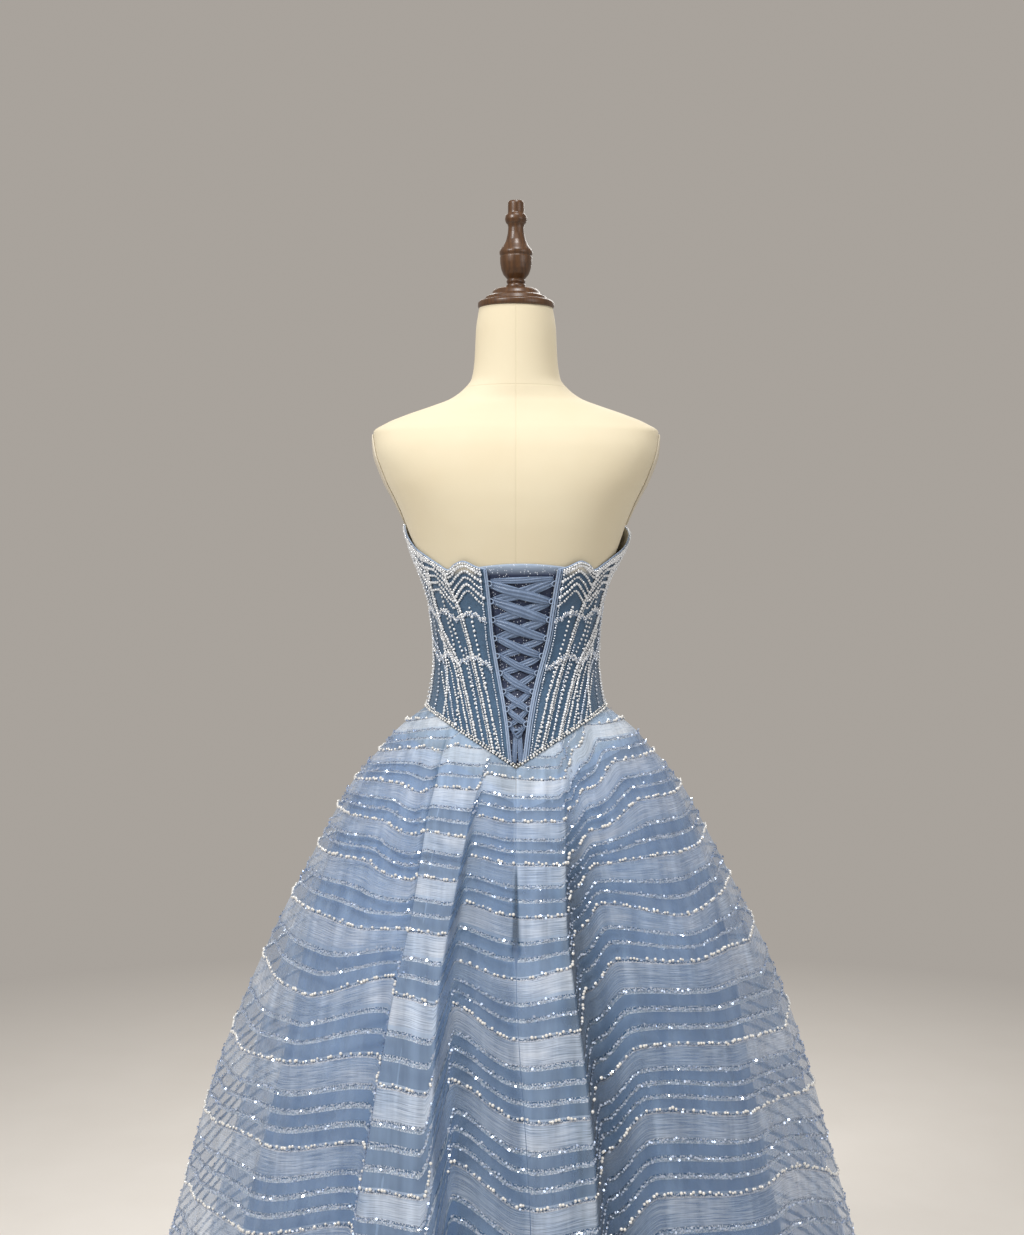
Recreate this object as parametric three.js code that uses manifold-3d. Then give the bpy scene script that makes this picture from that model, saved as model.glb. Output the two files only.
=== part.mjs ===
// Strapless ball gown with a lace-up corset back, standing on a limbless dress form.
// Millimetres, +Z up, origin on the floor under the form's axis.
// The laced back of the gown faces -Y, its front +Y; +X is the right of someone facing the back.
// phi is the angle about the Z axis, 0 at the centre back (-Y), +90 degrees at +X.
import * as THREE from 'three';
import { mergeVertices } from 'three/addons/utils/BufferGeometryUtils.js';
import Module from 'manifold-3d';

const wasm = await Module();
wasm.setup();

const DEG = Math.PI / 180;
const CLEAR = 0.9;          // body to the cloth that lies on it
const CLOTH = 2.0;          // bodice and skirt wall
const MODESTY = 1.2;        // modesty panel wall
const SEAM = 0.25;          // half the gap left between two sewn panels
const SEAM_SIDE_Z = 1020;   // waist seam at the side
const SEAM_DROP_BACK = 70;  // basque point below it, back and front
const SEAM_DROP_FRONT = 75;
const HEM_Z = 8;
const UNDER_HEM_Z = 22;
const HANG_ASIDE = 5;       // low down the skirt hangs this much to -X
const UNDER_TOP_DROP = 30;  // underskirt starts this far below the waist seam
const FORM_BOTTOM_Z = 880;
const NECK_TOP_Z = 1548;
const POLE_R = 12.5;
const BASE_R = 175;
const BASE_H = 12;
const LACE_W = 6.0;
const LACE_T = 1.2;

// Body of the dress form: height, half width, back depth, front depth, squareness
const BODY = [
  [880, 158, 114, 100, 2.2],
  [950, 151, 113, 102, 2.2],
  [1020, 117, 97, 95, 2.15],
  [1050, 110, 88, 90, 2.1],
  [1082, 106.5, 84, 88, 2.1],
  [1110, 107, 85, 92, 2.1],
  [1135, 109.5, 88, 98, 2.1],
  [1161, 113, 91, 104, 2.15],
  [1188, 121, 95, 112, 2.2],
  [1215, 131, 100, 119, 2.25],
  [1242, 139, 104, 122, 2.3],
  [1268, 148, 107, 120, 2.35],
  [1295, 161, 108, 112, 2.4],
  [1321, 175, 106, 101, 2.45],
  [1361, 188, 96, 82, 2.5],
  [1384, 189, 84, 68, 2.4],
  [1396, 172, 75, 60, 2.3],
  [1408, 143, 67, 54, 2.2],
  [1418, 114, 62, 51, 2.1],
  [1428, 88, 58, 48, 2.0],
  [1440, 71, 56, 46, 2.0],
  [1455, 59, 54, 46, 2.0],
  [1481, 55, 52, 46, 2.0],
  [1521, 53, 50, 47, 2.0],
  [NECK_TOP_Z, 49, 48, 47, 2.0],
];
// How far the neckline's side tips stand off the form
const WING_LEFT = 2;
const WING_RIGHT = 8;
const BUST = { x: 82, z: 1252, rise: 24, wide: 40, tall: 38 };

// Skirt ring: height, half width, depth as a share of the width
const SKIRT = [
  [0, 544, 1.0],
  [200, 489, 1.0],
  [400, 434, 0.99],
  [500, 407, 0.985],
  [600, 374, 0.98],
  [700, 333, 0.97],
  [760, 304, 0.95],
  [820, 273, 0.92],
  [870, 247, 0.9],
  [910, 225, 0.885],
  [940, 203, 0.87],
  [965, 181, 0.86],
  [990, 162, 0.85],
  [1020, 132, 0.84],
];

// Neckline height by angle from the bodice's centre back, one side
const NECKLINE = [
  [22, 1202], [32, 1207], [41, 1214], [47, 1210], [53, 1203], [60, 1211], [68, 1221], [78, 1232],
  [90, 1250], [104, 1259], [120, 1272], [138, 1292], [155, 1295], [168, 1284], [180, 1270],
];
// Half width of the laced opening, of the first bead seam and of the modesty panel, by height
const OPENING = [[950, 6], [975, 9], [1005, 12.5], [1048, 20], [1081, 27], [1117, 34], [1147, 37.5],
  [1175, 41], [1215, 47]];
const SEAM_ONE = [[950, 26], [977, 32], [1016, 41], [1047, 48], [1085, 58], [1120, 68], [1156, 80],
  [1190, 96], [1215, 103]];
const MODESTY_EDGE = [[950, 19], [1005, 30], [1048, 38], [1081, 46], [1147, 58], [1215, 66]];
// The bodice sits turned a little to +X: degrees by height
const TURN = [[950, 0.6], [1050, 1.6], [1117, 3.4], [1200, 4.2], [1300, 2]];
const LOOP_Z = [1186, 1163, 1139, 1115, 1092, 1069, 1045, 1023, 1004];

// Smooth curve through a table's column k
function smooth(table, z, k) {
  const n = table.length;
  if (z <= table[0][0]) return table[0][k];
  if (z >= table[n - 1][0]) return table[n - 1][k];
  let i = 0;
  while (table[i + 1][0] < z) i++;
  const slope = (a, b) => (table[b][k] - table[a][k]) / (table[b][0] - table[a][0]);
  const h = table[i + 1][0] - table[i][0], s = slope(i, i + 1), t = (z - table[i][0]) / h;
  const tangent = (a, b) => (a * b <= 0 ? 0 : 2 * a * b / (a + b));
  const m0 = i > 0 ? tangent(slope(i - 1, i), s) : s;
  const m1 = i < n - 2 ? tangent(s, slope(i + 1, i + 2)) : s;
  const a = table[i][k], b = table[i + 1][k];
  return (1 + 2 * t) * (1 - t) ** 2 * a + t * (1 - t) ** 2 * h * m0
    + t * t * (3 - 2 * t) * b + t * t * (t - 1) * h * m1;
}
const ease = (t) => { const c = Math.min(1, Math.max(0, t)); return c * c * (3 - 2 * c); };

function bodyRadius(phi, z) {
  const s = Math.abs(Math.sin(phi)), c = Math.cos(phi), n = smooth(BODY, z, 4);
  const b = smooth(BODY, z, c > 0 ? 2 : 3);
  let r = (Math.pow(s / smooth(BODY, z, 1), n) + Math.pow(Math.abs(c) / b, n)) ** (-1 / n);
  if (c < 0) {
    const x = Math.abs(r * Math.sin(phi));
    r += BUST.rise * Math.exp(-(((x - BUST.x) / BUST.wide) ** 2) / 2
      - (((z - BUST.z) / BUST.tall) ** 2) / 2) * ease(-c * 2.5);
  }
  return r;
}
const onRadius = (radius, phi, z) =>
  new THREE.Vector3(radius(phi, z) * Math.sin(phi), -radius(phi, z) * Math.cos(phi), z);

// Point of a surface given by its radius, moved out along its normal
function lifted(radius, phi, z, off) {
  const p = onRadius(radius, phi, z);
  const across = onRadius(radius, phi + 1e-3, z).sub(onRadius(radius, phi - 1e-3, z));
  const up = onRadius(radius, phi, z + 0.5).sub(onRadius(radius, phi, z - 0.5));
  return p.addScaledVector(across.cross(up).normalize(), off);
}
const turn = (z) => smooth(TURN, z, 1) * DEG;

// Angle at which the body, or a layer on it, is x wide at height z, from the centre back
function angleAt(x, z) {
  let phi = Math.asin(Math.min(1, Math.abs(x) / 110));
  for (let i = 0; i < 8; i++) phi = Math.asin(Math.min(1, Math.abs(x) / (bodyRadius(phi, z) + 3)));
  return phi * Math.sign(x);
}
const waistZ = (phi) => SEAM_SIDE_Z
  - (Math.cos(phi) > 0 ? SEAM_DROP_BACK : SEAM_DROP_FRONT) * (1 - Math.abs(Math.sin(phi)));
function wrap(phi) {
  let a = phi;
  while (a > Math.PI) a -= 2 * Math.PI;
  while (a < -Math.PI) a += 2 * Math.PI;
  return a;
}
function neckZ(phi) {
  const a = Math.abs(wrap(phi - turn(1215))) / DEG;
  return smooth(NECKLINE, a, 1);
}
// Height of the bodice's inner face over the body: it climbs onto the modesty panel
function climb(phi, z) {
  const edge = smooth(MODESTY_EDGE, z, 1) + 16;
  const x = Math.abs(bodyRadius(phi, z) * Math.sin(wrap(phi) - turn(z)));
  const side = Math.exp(-(((Math.abs(wrap(phi)) / DEG - 90) / 17) ** 2)) * ease((z - 1190) / 60);
  const wing = (phi > 0 ? WING_RIGHT : WING_LEFT) * side;
  if (Math.cos(phi) <= 0) return CLEAR + wing + 0.6 * ease(-Math.cos(phi) * 3);
  return CLEAR + wing + (MODESTY + CLEAR + 0.15) * ease((edge - x) / 13);
}
const bodicePoint = (phi, z, off) => lifted(bodyRadius, phi, z, climb(phi, z) + off);

// Closed wall from a grid: point(i, j, side), side 0 inner and 1 outer; round = closed across i
function wall(nu, nv, point, round = false) {
  const cols = round ? nu : nu + 1, pos = [], idx = [];
  for (let side = 0; side < 2; side++)
    for (let j = 0; j <= nv; j++)
      for (let i = 0; i < cols; i++) { const p = point(i, j, side); pos.push(p.x, p.y, p.z); }
  const at = (i, j, side) => side * cols * (nv + 1) + j * cols + (round ? i % nu : i);
  const quad = (a, b, c, d) => idx.push(a, b, c, a, c, d);
  for (let j = 0; j < nv; j++)
    for (let i = 0; i < nu; i++) {
      quad(at(i, j, 1), at(i + 1, j, 1), at(i + 1, j + 1, 1), at(i, j + 1, 1));
      quad(at(i, j, 0), at(i, j + 1, 0), at(i + 1, j + 1, 0), at(i + 1, j, 0));
    }
  for (let i = 0; i < nu; i++) {
    quad(at(i, 0, 0), at(i + 1, 0, 0), at(i + 1, 0, 1), at(i, 0, 1));
    quad(at(i, nv, 1), at(i + 1, nv, 1), at(i + 1, nv, 0), at(i, nv, 0));
  }
  if (!round)
    for (let j = 0; j < nv; j++) {
      quad(at(0, j, 1), at(0, j + 1, 1), at(0, j + 1, 0), at(0, j, 0));
      quad(at(nu, j, 0), at(nu, j + 1, 0), at(nu, j + 1, 1), at(nu, j, 1));
    }
  const g = new THREE.BufferGeometry();
  g.setAttribute('position', new THREE.Float32BufferAttribute(pos, 3));
  g.setIndex(idx);
  return g;
}

// Solid of stacked closed rings with flat ends
function loft(rings) {
  const n = rings[0].length, pos = [], idx = [];
  rings.forEach((ring) => ring.forEach((p) => pos.push(p.x, p.y, p.z)));
  for (let j = 0; j < rings.length - 1; j++)
    for (let i = 0; i < n; i++) {
      const a = j * n + i, b = j * n + (i + 1) % n;
      idx.push(a, b, b + n, a, b + n, a + n);
    }
  for (const [j, flip] of [[0, true], [rings.length - 1, false]]) {
    const c = rings[j].reduce((s, p) => s.add(p), new THREE.Vector3()).divideScalar(n);
    const k = pos.length / 3;
    pos.push(c.x, c.y, c.z);
    for (let i = 0; i < n; i++) {
      const a = j * n + i, b = j * n + (i + 1) % n;
      if (flip) idx.push(k, b, a); else idx.push(k, a, b);
    }
  }
  const g = new THREE.BufferGeometry();
  g.setAttribute('position', new THREE.Float32BufferAttribute(pos, 3));
  g.setIndex(idx);
  return g;
}

// Turned solid about Z from radius and height pairs
function turned(profile, segments) {
  const g = new THREE.LatheGeometry(profile.map(([r, z]) => new THREE.Vector2(r, z)), segments);
  g.rotateX(Math.PI / 2);
  return g;
}

function toSolid(geometry) {
  const g = geometry.clone();
  g.deleteAttribute('normal');
  g.deleteAttribute('uv');
  const m = mergeVertices(g, 1e-4);
  return new wasm.Manifold(new wasm.Mesh({
    numProp: 3,
    vertProperties: new Float32Array(m.attributes.position.array),
    triVerts: new Uint32Array(m.index.array),
  }));
}
function fromSolid(solid) {
  const mesh = solid.getMesh(), g = new THREE.BufferGeometry();
  g.setAttribute('position', new THREE.Float32BufferAttribute(mesh.vertProperties, 3));
  g.setIndex(new THREE.BufferAttribute(mesh.triVerts, 1));
  return g;
}
const joined = (parts) => fromSolid(parts.map(toSolid).reduce((a, b) => a.add(b)));

const paint = (color, roughness, metalness = 0) =>
  new THREE.MeshStandardMaterial({ color, roughness, metalness });
const BLUE = paint(0x8ea6c8, 0.55);
const BODICE_BLUE = paint(0x7f9abf, 0.6);
const UNDER_BLUE = paint(0x6f8fbd, 0.7);
const BEADS = paint(0xe6e4dc, 0.35);
const RIBBON = paint(0x93abcf, 0.35);
const COTTON = paint(0xf0e7cd, 0.85);
const GREY_EDGE = paint(0xc9bfb0, 0.8);
const WOOD = paint(0x5f3b24, 0.45);
const STEEL = paint(0x8a8d90, 0.4, 0.8);

const gown = new THREE.Group();
function piece(name, geometry, material) {
  const mesh = new THREE.Mesh(geometry, material);
  mesh.name = name;
  gown.add(mesh);
}

// Form
const FORM_STEPS = 40;
const FORM_LEVELS = [880, 915, 950, 985, 1020, 1050, 1082, 1115, 1150, 1188, 1215, 1242, 1268, 1295,
  1321, 1343, 1361, 1377, 1386, 1396, 1408, 1420, 1430, 1441, 1456, 1490, 1548];
// The form is a little slimmer where the gown covers it
const slimmed = (phi, z) => bodyRadius(phi, z) - 4 * ease((neckZ(phi) + 2 - z) / 28);
const formSolid = (grow) => loft(FORM_LEVELS.map((z) => Array.from({ length: FORM_STEPS }, (_, i) =>
  onRadius((phi, h) => slimmed(phi, h) + grow, i * 2 * Math.PI / FORM_STEPS, z))));
piece('form_body', formSolid(0), COTTON);

// Oval arm plates on the sides of the torso, hollowed to sit on it
function armPlate(side) {
  const rings = 3, steps = 16;
  const at = (i, j, outer) => {
    const a = i * 2 * Math.PI / steps, k = Math.max(j, 0.02) / rings;
    const z = 1322 + 60 * k * Math.sin(a);
    const phi = side * (90 + 11 * k * Math.cos(a)) * DEG;
    const lift = outer ? (j === rings ? 1.9 : 2.6) : -6;
    return lifted(bodyRadius, phi, z, lift);
  };
  const pos = [], idx = [];
  for (const outer of [0, 1])
    for (let j = 0; j <= rings; j++)
      for (let i = 0; i < (j ? steps : 1); i++) {
        const p = at(i, j, outer);
        pos.push(p.x, p.y, p.z);
      }
  const half = 1 + rings * steps;
  const id = (i, j, outer) => outer * half + (j ? 1 + (j - 1) * steps + (i % steps) : 0);
  const tri = (a, b, c) => (side > 0 ? idx.push(a, b, c) : idx.push(a, c, b));
  for (let i = 0; i < steps; i++) {
    tri(id(0, 0, 1), id(i, 1, 1), id(i + 1, 1, 1));
    tri(id(0, 0, 0), id(i + 1, 1, 0), id(i, 1, 0));
    for (let j = 1; j < rings; j++)
      for (const outer of [0, 1]) {
        const q = [id(i, j, outer), id(i, j + 1, outer), id(i + 1, j + 1, outer), id(i + 1, j, outer)];
        if (!outer) q.reverse();
        tri(q[0], q[1], q[2]);
        tri(q[0], q[2], q[3]);
      }
    tri(id(i, rings, 1), id(i, rings, 0), id(i + 1, rings, 0));
    tri(id(i, rings, 1), id(i + 1, rings, 0), id(i + 1, rings, 1));
  }
  const g = new THREE.BufferGeometry();
  g.setAttribute('position', new THREE.Float32BufferAttribute(pos, 3));
  g.setIndex(idx);
  return fromSolid(toSolid(g).subtract(toSolid(formSolid(0.3))));
}
piece('arm_plate_left', armPlate(-1), GREY_EDGE);
piece('arm_plate_right', armPlate(1), GREY_EDGE);

// Turned cap and finial on the neck
const CAP_Z = NECK_TOP_Z + 0.2;
piece('neck_cap', turned([[0, CAP_Z], [49, CAP_Z], [50.5, CAP_Z + 2], [50.5, CAP_Z + 7],
  [48, CAP_Z + 9.5], [41, CAP_Z + 10], [40, CAP_Z + 15], [32, CAP_Z + 18], [31, CAP_Z + 22],
  [28, CAP_Z + 25], [18, CAP_Z + 26.5], [0, CAP_Z + 26.5]], 24), WOOD);
const FIN_Z = CAP_Z + 26.7;
piece('finial', turned([[0, FIN_Z], [16.5, FIN_Z], [17, FIN_Z + 3], [11.5, FIN_Z + 7],
  [11, FIN_Z + 14], [14, FIN_Z + 25], [20, FIN_Z + 42], [21.9, FIN_Z + 44], [21.9, FIN_Z + 49],
  [18.5, FIN_Z + 51], [12, FIN_Z + 66], [10, FIN_Z + 78], [14.3, FIN_Z + 87], [14.6, FIN_Z + 92],
  [10.3, FIN_Z + 98], [10.3, FIN_Z + 113], [8.5, FIN_Z + 115], [0, FIN_Z + 115]], 20), WOOD);

// Stand under the skirt
piece('stand_base', turned([[0, 0], [BASE_R - 2, 0], [BASE_R, 2], [BASE_R, BASE_H - 4],
  [BASE_R - 6, BASE_H], [32, BASE_H], [30, BASE_H + 16], [26, BASE_H + 20], [0, BASE_H + 20]], 36),
STEEL);
const pole = new THREE.CylinderGeometry(POLE_R, POLE_R, FORM_BOTTOM_Z - BASE_H - 20.4, 24);
pole.rotateX(Math.PI / 2);
pole.translate(0, 0, (FORM_BOTTOM_Z + BASE_H + 20) / 2);
piece('stand_pole', pole, STEEL);

// Bodice panels between two edges, each an angle by height, from waist seam to neckline
function panel(edgeA, edgeB, nu, nv, inner, outer, low = waistZ, high = neckZ, lift = bodicePoint) {
  return wall(nu, nv, (i, j, side) => {
    let phi = (edgeA(1100) + edgeB(1100)) / 2, z = 1100;
    for (let k = 0; k < 25; k++) {
      phi += 0.7 * (edgeA(z) + (edgeB(z) - edgeA(z)) * i / nu - phi);
      z = low(phi) + (high(phi) - low(phi)) * j / nv;
    }
    return lift(phi, z, side ? outer : inner);
  });
}
const shut = (mm) => mm / 120;
const openEdge = (s) => (z) => turn(z) + s * (angleAt(smooth(OPENING, z, 1), z) + shut(SEAM));
const seamOne = (s, gap) => (z) => turn(z) + s * (angleAt(smooth(SEAM_ONE, z, 1), z) + shut(gap));
const fixed = (deg, gap) => () => deg * DEG + shut(gap);
const between = (a, b, nu) => panel(a, b, nu, 10, 0, CLOTH);
piece('bodice_back_left', between(seamOne(-1, -SEAM), openEdge(-1), 6), BODICE_BLUE);
piece('bodice_back_right', between(openEdge(1), seamOne(1, -SEAM), 6), BODICE_BLUE);
piece('bodice_side_back_left', between(fixed(-92, SEAM), seamOne(-1, SEAM), 9), BODICE_BLUE);
piece('bodice_side_back_right', between(seamOne(1, SEAM), fixed(92, -SEAM), 9), BODICE_BLUE);
piece('bodice_side_front_left', between(fixed(-146, SEAM), fixed(-92, -SEAM), 9), BODICE_BLUE);
piece('bodice_side_front_right', between(fixed(92, SEAM), fixed(146, -SEAM), 9), BODICE_BLUE);
piece('bodice_front', between(fixed(146, SEAM), fixed(214, -SEAM), 12), BODICE_BLUE);

// Modesty panel behind the lacing, on the body and under the bodice's edges
const modestyEdge = (s) => (z) => turn(z) + s * angleAt(smooth(MODESTY_EDGE, z, 1), z);
const modestyTop = (phi) => 1210.5 - 5 * (Math.abs(wrap(phi - turn(1215))) / (34 * DEG)) ** 2;
const modestyLow = (phi) => waistZ(phi) + 4;
piece('modesty_panel', panel(modestyEdge(-1), modestyEdge(1), 10, 9, CLEAR, CLEAR + MODESTY,
  modestyLow, modestyTop, (phi, z, off) => lifted(bodyRadius, phi, z, off)), BODICE_BLUE);

// Lacing: two strands crossing from loop to loop, a knot and two tails
const laceBed = CLEAR + MODESTY + 1.5;
const loopX = (s, z) => turn(z) * 105 + s * (smooth(OPENING, z, 1) - 2.9);
function strip(a, b, lift, n = 2, width = LACE_W) {
  const dx = b[0] - a[0], dz = b[1] - a[1], len = Math.hypot(dx, dz);
  return wall(n, 1, (i, j, side) => {
    const t = i / n, w = (j - 0.5) * width;
    const x = a[0] + dx * t - dz / len * w, z = a[1] + dz * t + dx / len * w;
    return lifted(bodyRadius, angleAt(x, z), z, laceBed + lift + (side ? LACE_T : 0));
  });
}
const laces = [strip([loopX(-1, LOOP_Z[0] + 4), LOOP_Z[0] + 4], [loopX(1, LOOP_Z[0] + 4),
  LOOP_Z[0] + 4], 0)];
for (let k = 0; k < LOOP_Z.length - 1; k++)
  for (const s of [-1, 1]) {
    const far = [loopX(-s, LOOP_Z[k + 1]), LOOP_Z[k + 1]], near = [loopX(s, LOOP_Z[k]), LOOP_Z[k]];
    laces.push(s < 0 ? strip(near, far, 0.3) : strip(far, near, 0));
  }
const KNOT = [2, 994];
const knot = new THREE.SphereGeometry(1, 10, 6);
knot.scale(7.5, 4, 6);
const knotAt = lifted(bodyRadius, angleAt(KNOT[0], KNOT[1]), KNOT[1], laceBed + 4);
knot.translate(knotAt.x, knotAt.y, knotAt.z);
laces.push(knot);
for (const s of [-1, 1]) {
  laces.push(strip(s < 0 ? [loopX(-1, 1004), 1003] : KNOT, s < 0 ? KNOT : [loopX(1, 1004), 1003],
    0.15, 1, 5));
  laces.push(strip([KNOT[0] + s * 2.6, KNOT[1] - 2], [KNOT[0] + s * 2.4, 960], 0.1 + s * 0.1, 2, 3.6));
}
piece('lacing', joined(laces), RIBBON);

// Loop tapes along both edges of the opening
function loopTape(s) {
  const inner = (z) => turn(z) + s * angleAt(smooth(OPENING, z, 1) + 0.4, z);
  const outer = (z) => turn(z) + s * angleAt(smooth(OPENING, z, 1) + 5.5, z);
  const tape = panel(s > 0 ? inner : outer, s > 0 ? outer : inner, 1, 10, CLOTH + 0.7, CLOTH + 1.9,
    (phi) => waistZ(phi) + 9, (phi) => neckZ(phi) - 1);
  const loops = LOOP_Z.map((z) => {
    const g = new THREE.TorusGeometry(3.3, 0.95, 3, 6);
    const phi = turn(z) + s * angleAt(smooth(OPENING, z, 1), z);
    const p = bodicePoint(phi, z, CLOTH + 1.7), q = bodicePoint(phi, z, CLOTH + 3);
    g.lookAt(q.clone().sub(p));
    g.translate(p.x, p.y, p.z);
    return g;
  });
  return joined([tape, ...loops]);
}
piece('loop_tape_left', loopTape(-1), RIBBON);
piece('loop_tape_right', loopTape(1), RIBBON);

// Beaded trim round the bottom edge of the bodice
piece('waist_trim', wall(52, 2, (i, j, side) => {
  const phi = i * 2 * Math.PI / 52, z = waistZ(phi) + 0.8 + j * 3;
  return bodicePoint(phi, z, CLOTH + 0.65 + (side ? (j === 1 ? 2.4 : 1.4) : 0));
}, true), BEADS);

// Folds of the skirt back: edges of the two laid pleats, in degrees by height
const PLEAT_L_OUT = [[0, -24.5], [480, -25.2], [545, -24.9], [748, -25.7], [920, -33], [985, -42]];
const PLEAT_L_IN = [[0, -11.5], [480, -12.6], [545, -13.8], [748, -16.4], [920, -17], [985, -17.5]];
const PLEAT_R_OUT = [[0, 12.8], [480, 12.3], [545, 12.6], [748, 11.8], [920, 19], [960, 27]];
const CENTRE_BACK = [[0, 3.2], [480, 2.2], [545, 1.8], [748, 0], [1000, 0]];
const at = (table, z) => smooth(table, z, 1);

// Fold height by angle, in millimetres at full depth
function foldKnots(z) {
  const lo = at(PLEAT_L_OUT, z), li = at(PLEAT_L_IN, z), ro = at(PLEAT_R_OUT, z);
  const cb = at(CENTRE_BACK, z);
  return [[-180, 7], [-165, -7], [-150, 8], [-134, -8], [-118, 7], [-104, -5], [-90, 1], [-76, -3],
    [-62, 2], [-52, -1], [Math.min(-40, lo - 6), 9], [lo - 1.6, -8], [lo, 11], [li, 13],
    [li + 1.8, -15], [cb - 0.5, 1], [cb + 0.9, 9], [ro, 9], [ro + 2.2, -8], [25 + ro * 0.1, -7],
    [41, 9], [56, -3], [66, 3], [78, -3], [90, 1], [104, -5], [118, 7], [134, -8], [150, 8],
    [165, -7], [180, 7]];
}
function fold(phi, z, drop) {
  const a = wrap(phi) / DEG, k = foldKnots(z);
  let i = 0;
  while (i < k.length - 2 && k[i + 1][0] < a) i++;
  const f = k[i][1] + (k[i + 1][1] - k[i][1]) * ease((a - k[i][0]) / (k[i + 1][0] - k[i][0]));
  return f * ease(drop / 260) * (0.62 + 0.38 * Math.min(1, drop / 900));
}
function plainSkirt(phi, z) {
  const ring = (h) => {
    const a = smooth(SKIRT, h, 1), b = a * smooth(SKIRT, h, 2);
    return 1 / Math.hypot(Math.sin(phi) / a, Math.cos(phi) / b);
  };
  const edge = skirtTop(phi, CLOTH), drop = Math.max(0, edge.z - z);
  const waist = Math.hypot(edge.x, edge.y);
  const spring = 26 + 52 * Math.cos(phi) ** 2, aside = HANG_ASIDE * ease((700 - z) / 250);
  return ring(z) - (ring(edge.z) - waist) * Math.exp(-((drop / spring) ** 1.2))
    - aside * Math.sin(phi);
}
// The skirt's top edge, sewn to the bodice's lower edge
const skirtTop = (phi, off) => bodicePoint(phi, waistZ(phi), off).add(new THREE.Vector3(0, 0, -SEAM));
const skirtRadius = (phi, z) => plainSkirt(phi, z) + fold(phi, z, Math.max(0, waistZ(phi) - z));

// Rows of points down a skirt panel, as shares of its length; the back's pass the seam's open slit
const ROWS_BACK = [0, 0.012, 0.035, 0.07, 0.12, 0.17, 0.193, 0.205, 0.217, 0.26, 0.33, 0.42, 0.53,
  0.65, 0.77, 0.89, 1];
const ROWS_FRONT = [0, 0.012, 0.035, 0.07, 0.12, 0.18, 0.26, 0.35, 0.46, 0.58, 0.72, 0.86, 1];
// Columns of a skirt panel: breaks(z) gives edge angles, counts the steps between them
function skirtPanel(breaks, counts, rows = ROWS_BACK) {
  const nu = counts.reduce((a, b) => a + b);
  return wall(nu, rows.length - 1, (i, j, side) => {
    const v = 1 - rows[rows.length - 1 - j];
    let k = 0, rest = i;
    while (k < counts.length - 1 && rest > counts[k]) rest -= counts[k++];
    let phi = 0, z = 500;
    for (let n = 0; n < 20; n++) {
      const b = breaks(z), t = rest / counts[k];
      phi = (b[k] + (b[k + 1] - b[k]) * t) * DEG;
      z = HEM_Z + (waistZ(phi) - HEM_Z) * v;
    }
    if (v === 1) return skirtTop(phi, side ? CLOTH : 0);
    return lifted(skirtRadius, phi, z, side ? 0 : -CLOTH);
  });
}
// Half the seam gap at the centre back in degrees; the seam stands open as a short slit
const SLIT_Z = 757;
const seamDeg = (z) => (SEAM + 1.6 * Math.exp(-(((z - SLIT_Z) / 9) ** 2))) / (250 * DEG);
piece('skirt_back_left', skirtPanel((z) => {
  const lo = at(PLEAT_L_OUT, z), li = at(PLEAT_L_IN, z);
  return [-90 + 0.05, -62, Math.min(-40, lo - 6), lo - 1.6, lo, li, li + 1.8,
    at(CENTRE_BACK, z) - seamDeg(z)];
}, [5, 5, 2, 2, 3, 3, 5]), BLUE);
piece('skirt_back_right', skirtPanel((z) => {
  const ro = at(PLEAT_R_OUT, z), cb = at(CENTRE_BACK, z);
  return [cb + seamDeg(z), cb + 0.9, ro, ro + 2.2, 25 + ro * 0.1, 41, 66, 90 - 0.05];
}, [1, 3, 3, 2, 3, 5, 5]), BLUE);
piece('skirt_front', skirtPanel(() => [90.05, 269.95], [32], ROWS_FRONT), BLUE);

// Underskirt, which shows through the sheer outer skirt
piece('underskirt', wall(36, 7, (i, j, side) => {
  const phi = i * 2 * Math.PI / 36, top = waistZ(phi) - UNDER_TOP_DROP;
  const z = UNDER_HEM_Z + (top - UNDER_HEM_Z) * (1 - (1 - j / 7) ** 1.8);
  const slim = (p, h) => plainSkirt(p, h) * (1 - 0.2 * ease((waistZ(p) - h - 20) / 480)) - 5.6;
  if (j === 7) return lifted(skirtRadius, phi, z, (side ? -1 : -2.6) - CLOTH);
  return lifted(slim, phi, z, side ? -CLOTH : -CLOTH - 1.6);
}, true), UNDER_BLUE);

export default gown;
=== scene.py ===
# Strapless ball gown with a laced corset back, on a limbless dress form: looks.
# Lengths are millimetres until build() turns them into metres. phi is the angle about the form's
# axis, 0 at the centre back (-Y) and +90 degrees at +X.
import bpy
import numpy as np
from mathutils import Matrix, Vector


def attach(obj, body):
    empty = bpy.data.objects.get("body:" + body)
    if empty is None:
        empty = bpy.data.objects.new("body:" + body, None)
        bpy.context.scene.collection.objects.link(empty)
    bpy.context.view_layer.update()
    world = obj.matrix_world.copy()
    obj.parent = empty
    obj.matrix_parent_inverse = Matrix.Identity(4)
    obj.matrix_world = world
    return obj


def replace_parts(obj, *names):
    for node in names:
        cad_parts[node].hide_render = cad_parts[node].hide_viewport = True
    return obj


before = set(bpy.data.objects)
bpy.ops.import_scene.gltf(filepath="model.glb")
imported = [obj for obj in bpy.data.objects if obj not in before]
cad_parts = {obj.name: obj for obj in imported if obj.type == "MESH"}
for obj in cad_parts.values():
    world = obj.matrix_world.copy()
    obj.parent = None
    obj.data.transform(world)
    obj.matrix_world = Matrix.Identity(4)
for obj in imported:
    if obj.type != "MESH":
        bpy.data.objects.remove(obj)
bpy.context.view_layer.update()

DEG = np.pi / 180
CLEAR, CLOTH, MODESTY, SEAM = 0.9, 2.0, 1.2, 0.25
SEAM_SIDE_Z, DROP_BACK, DROP_FRONT = 1020, 70, 75
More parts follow.
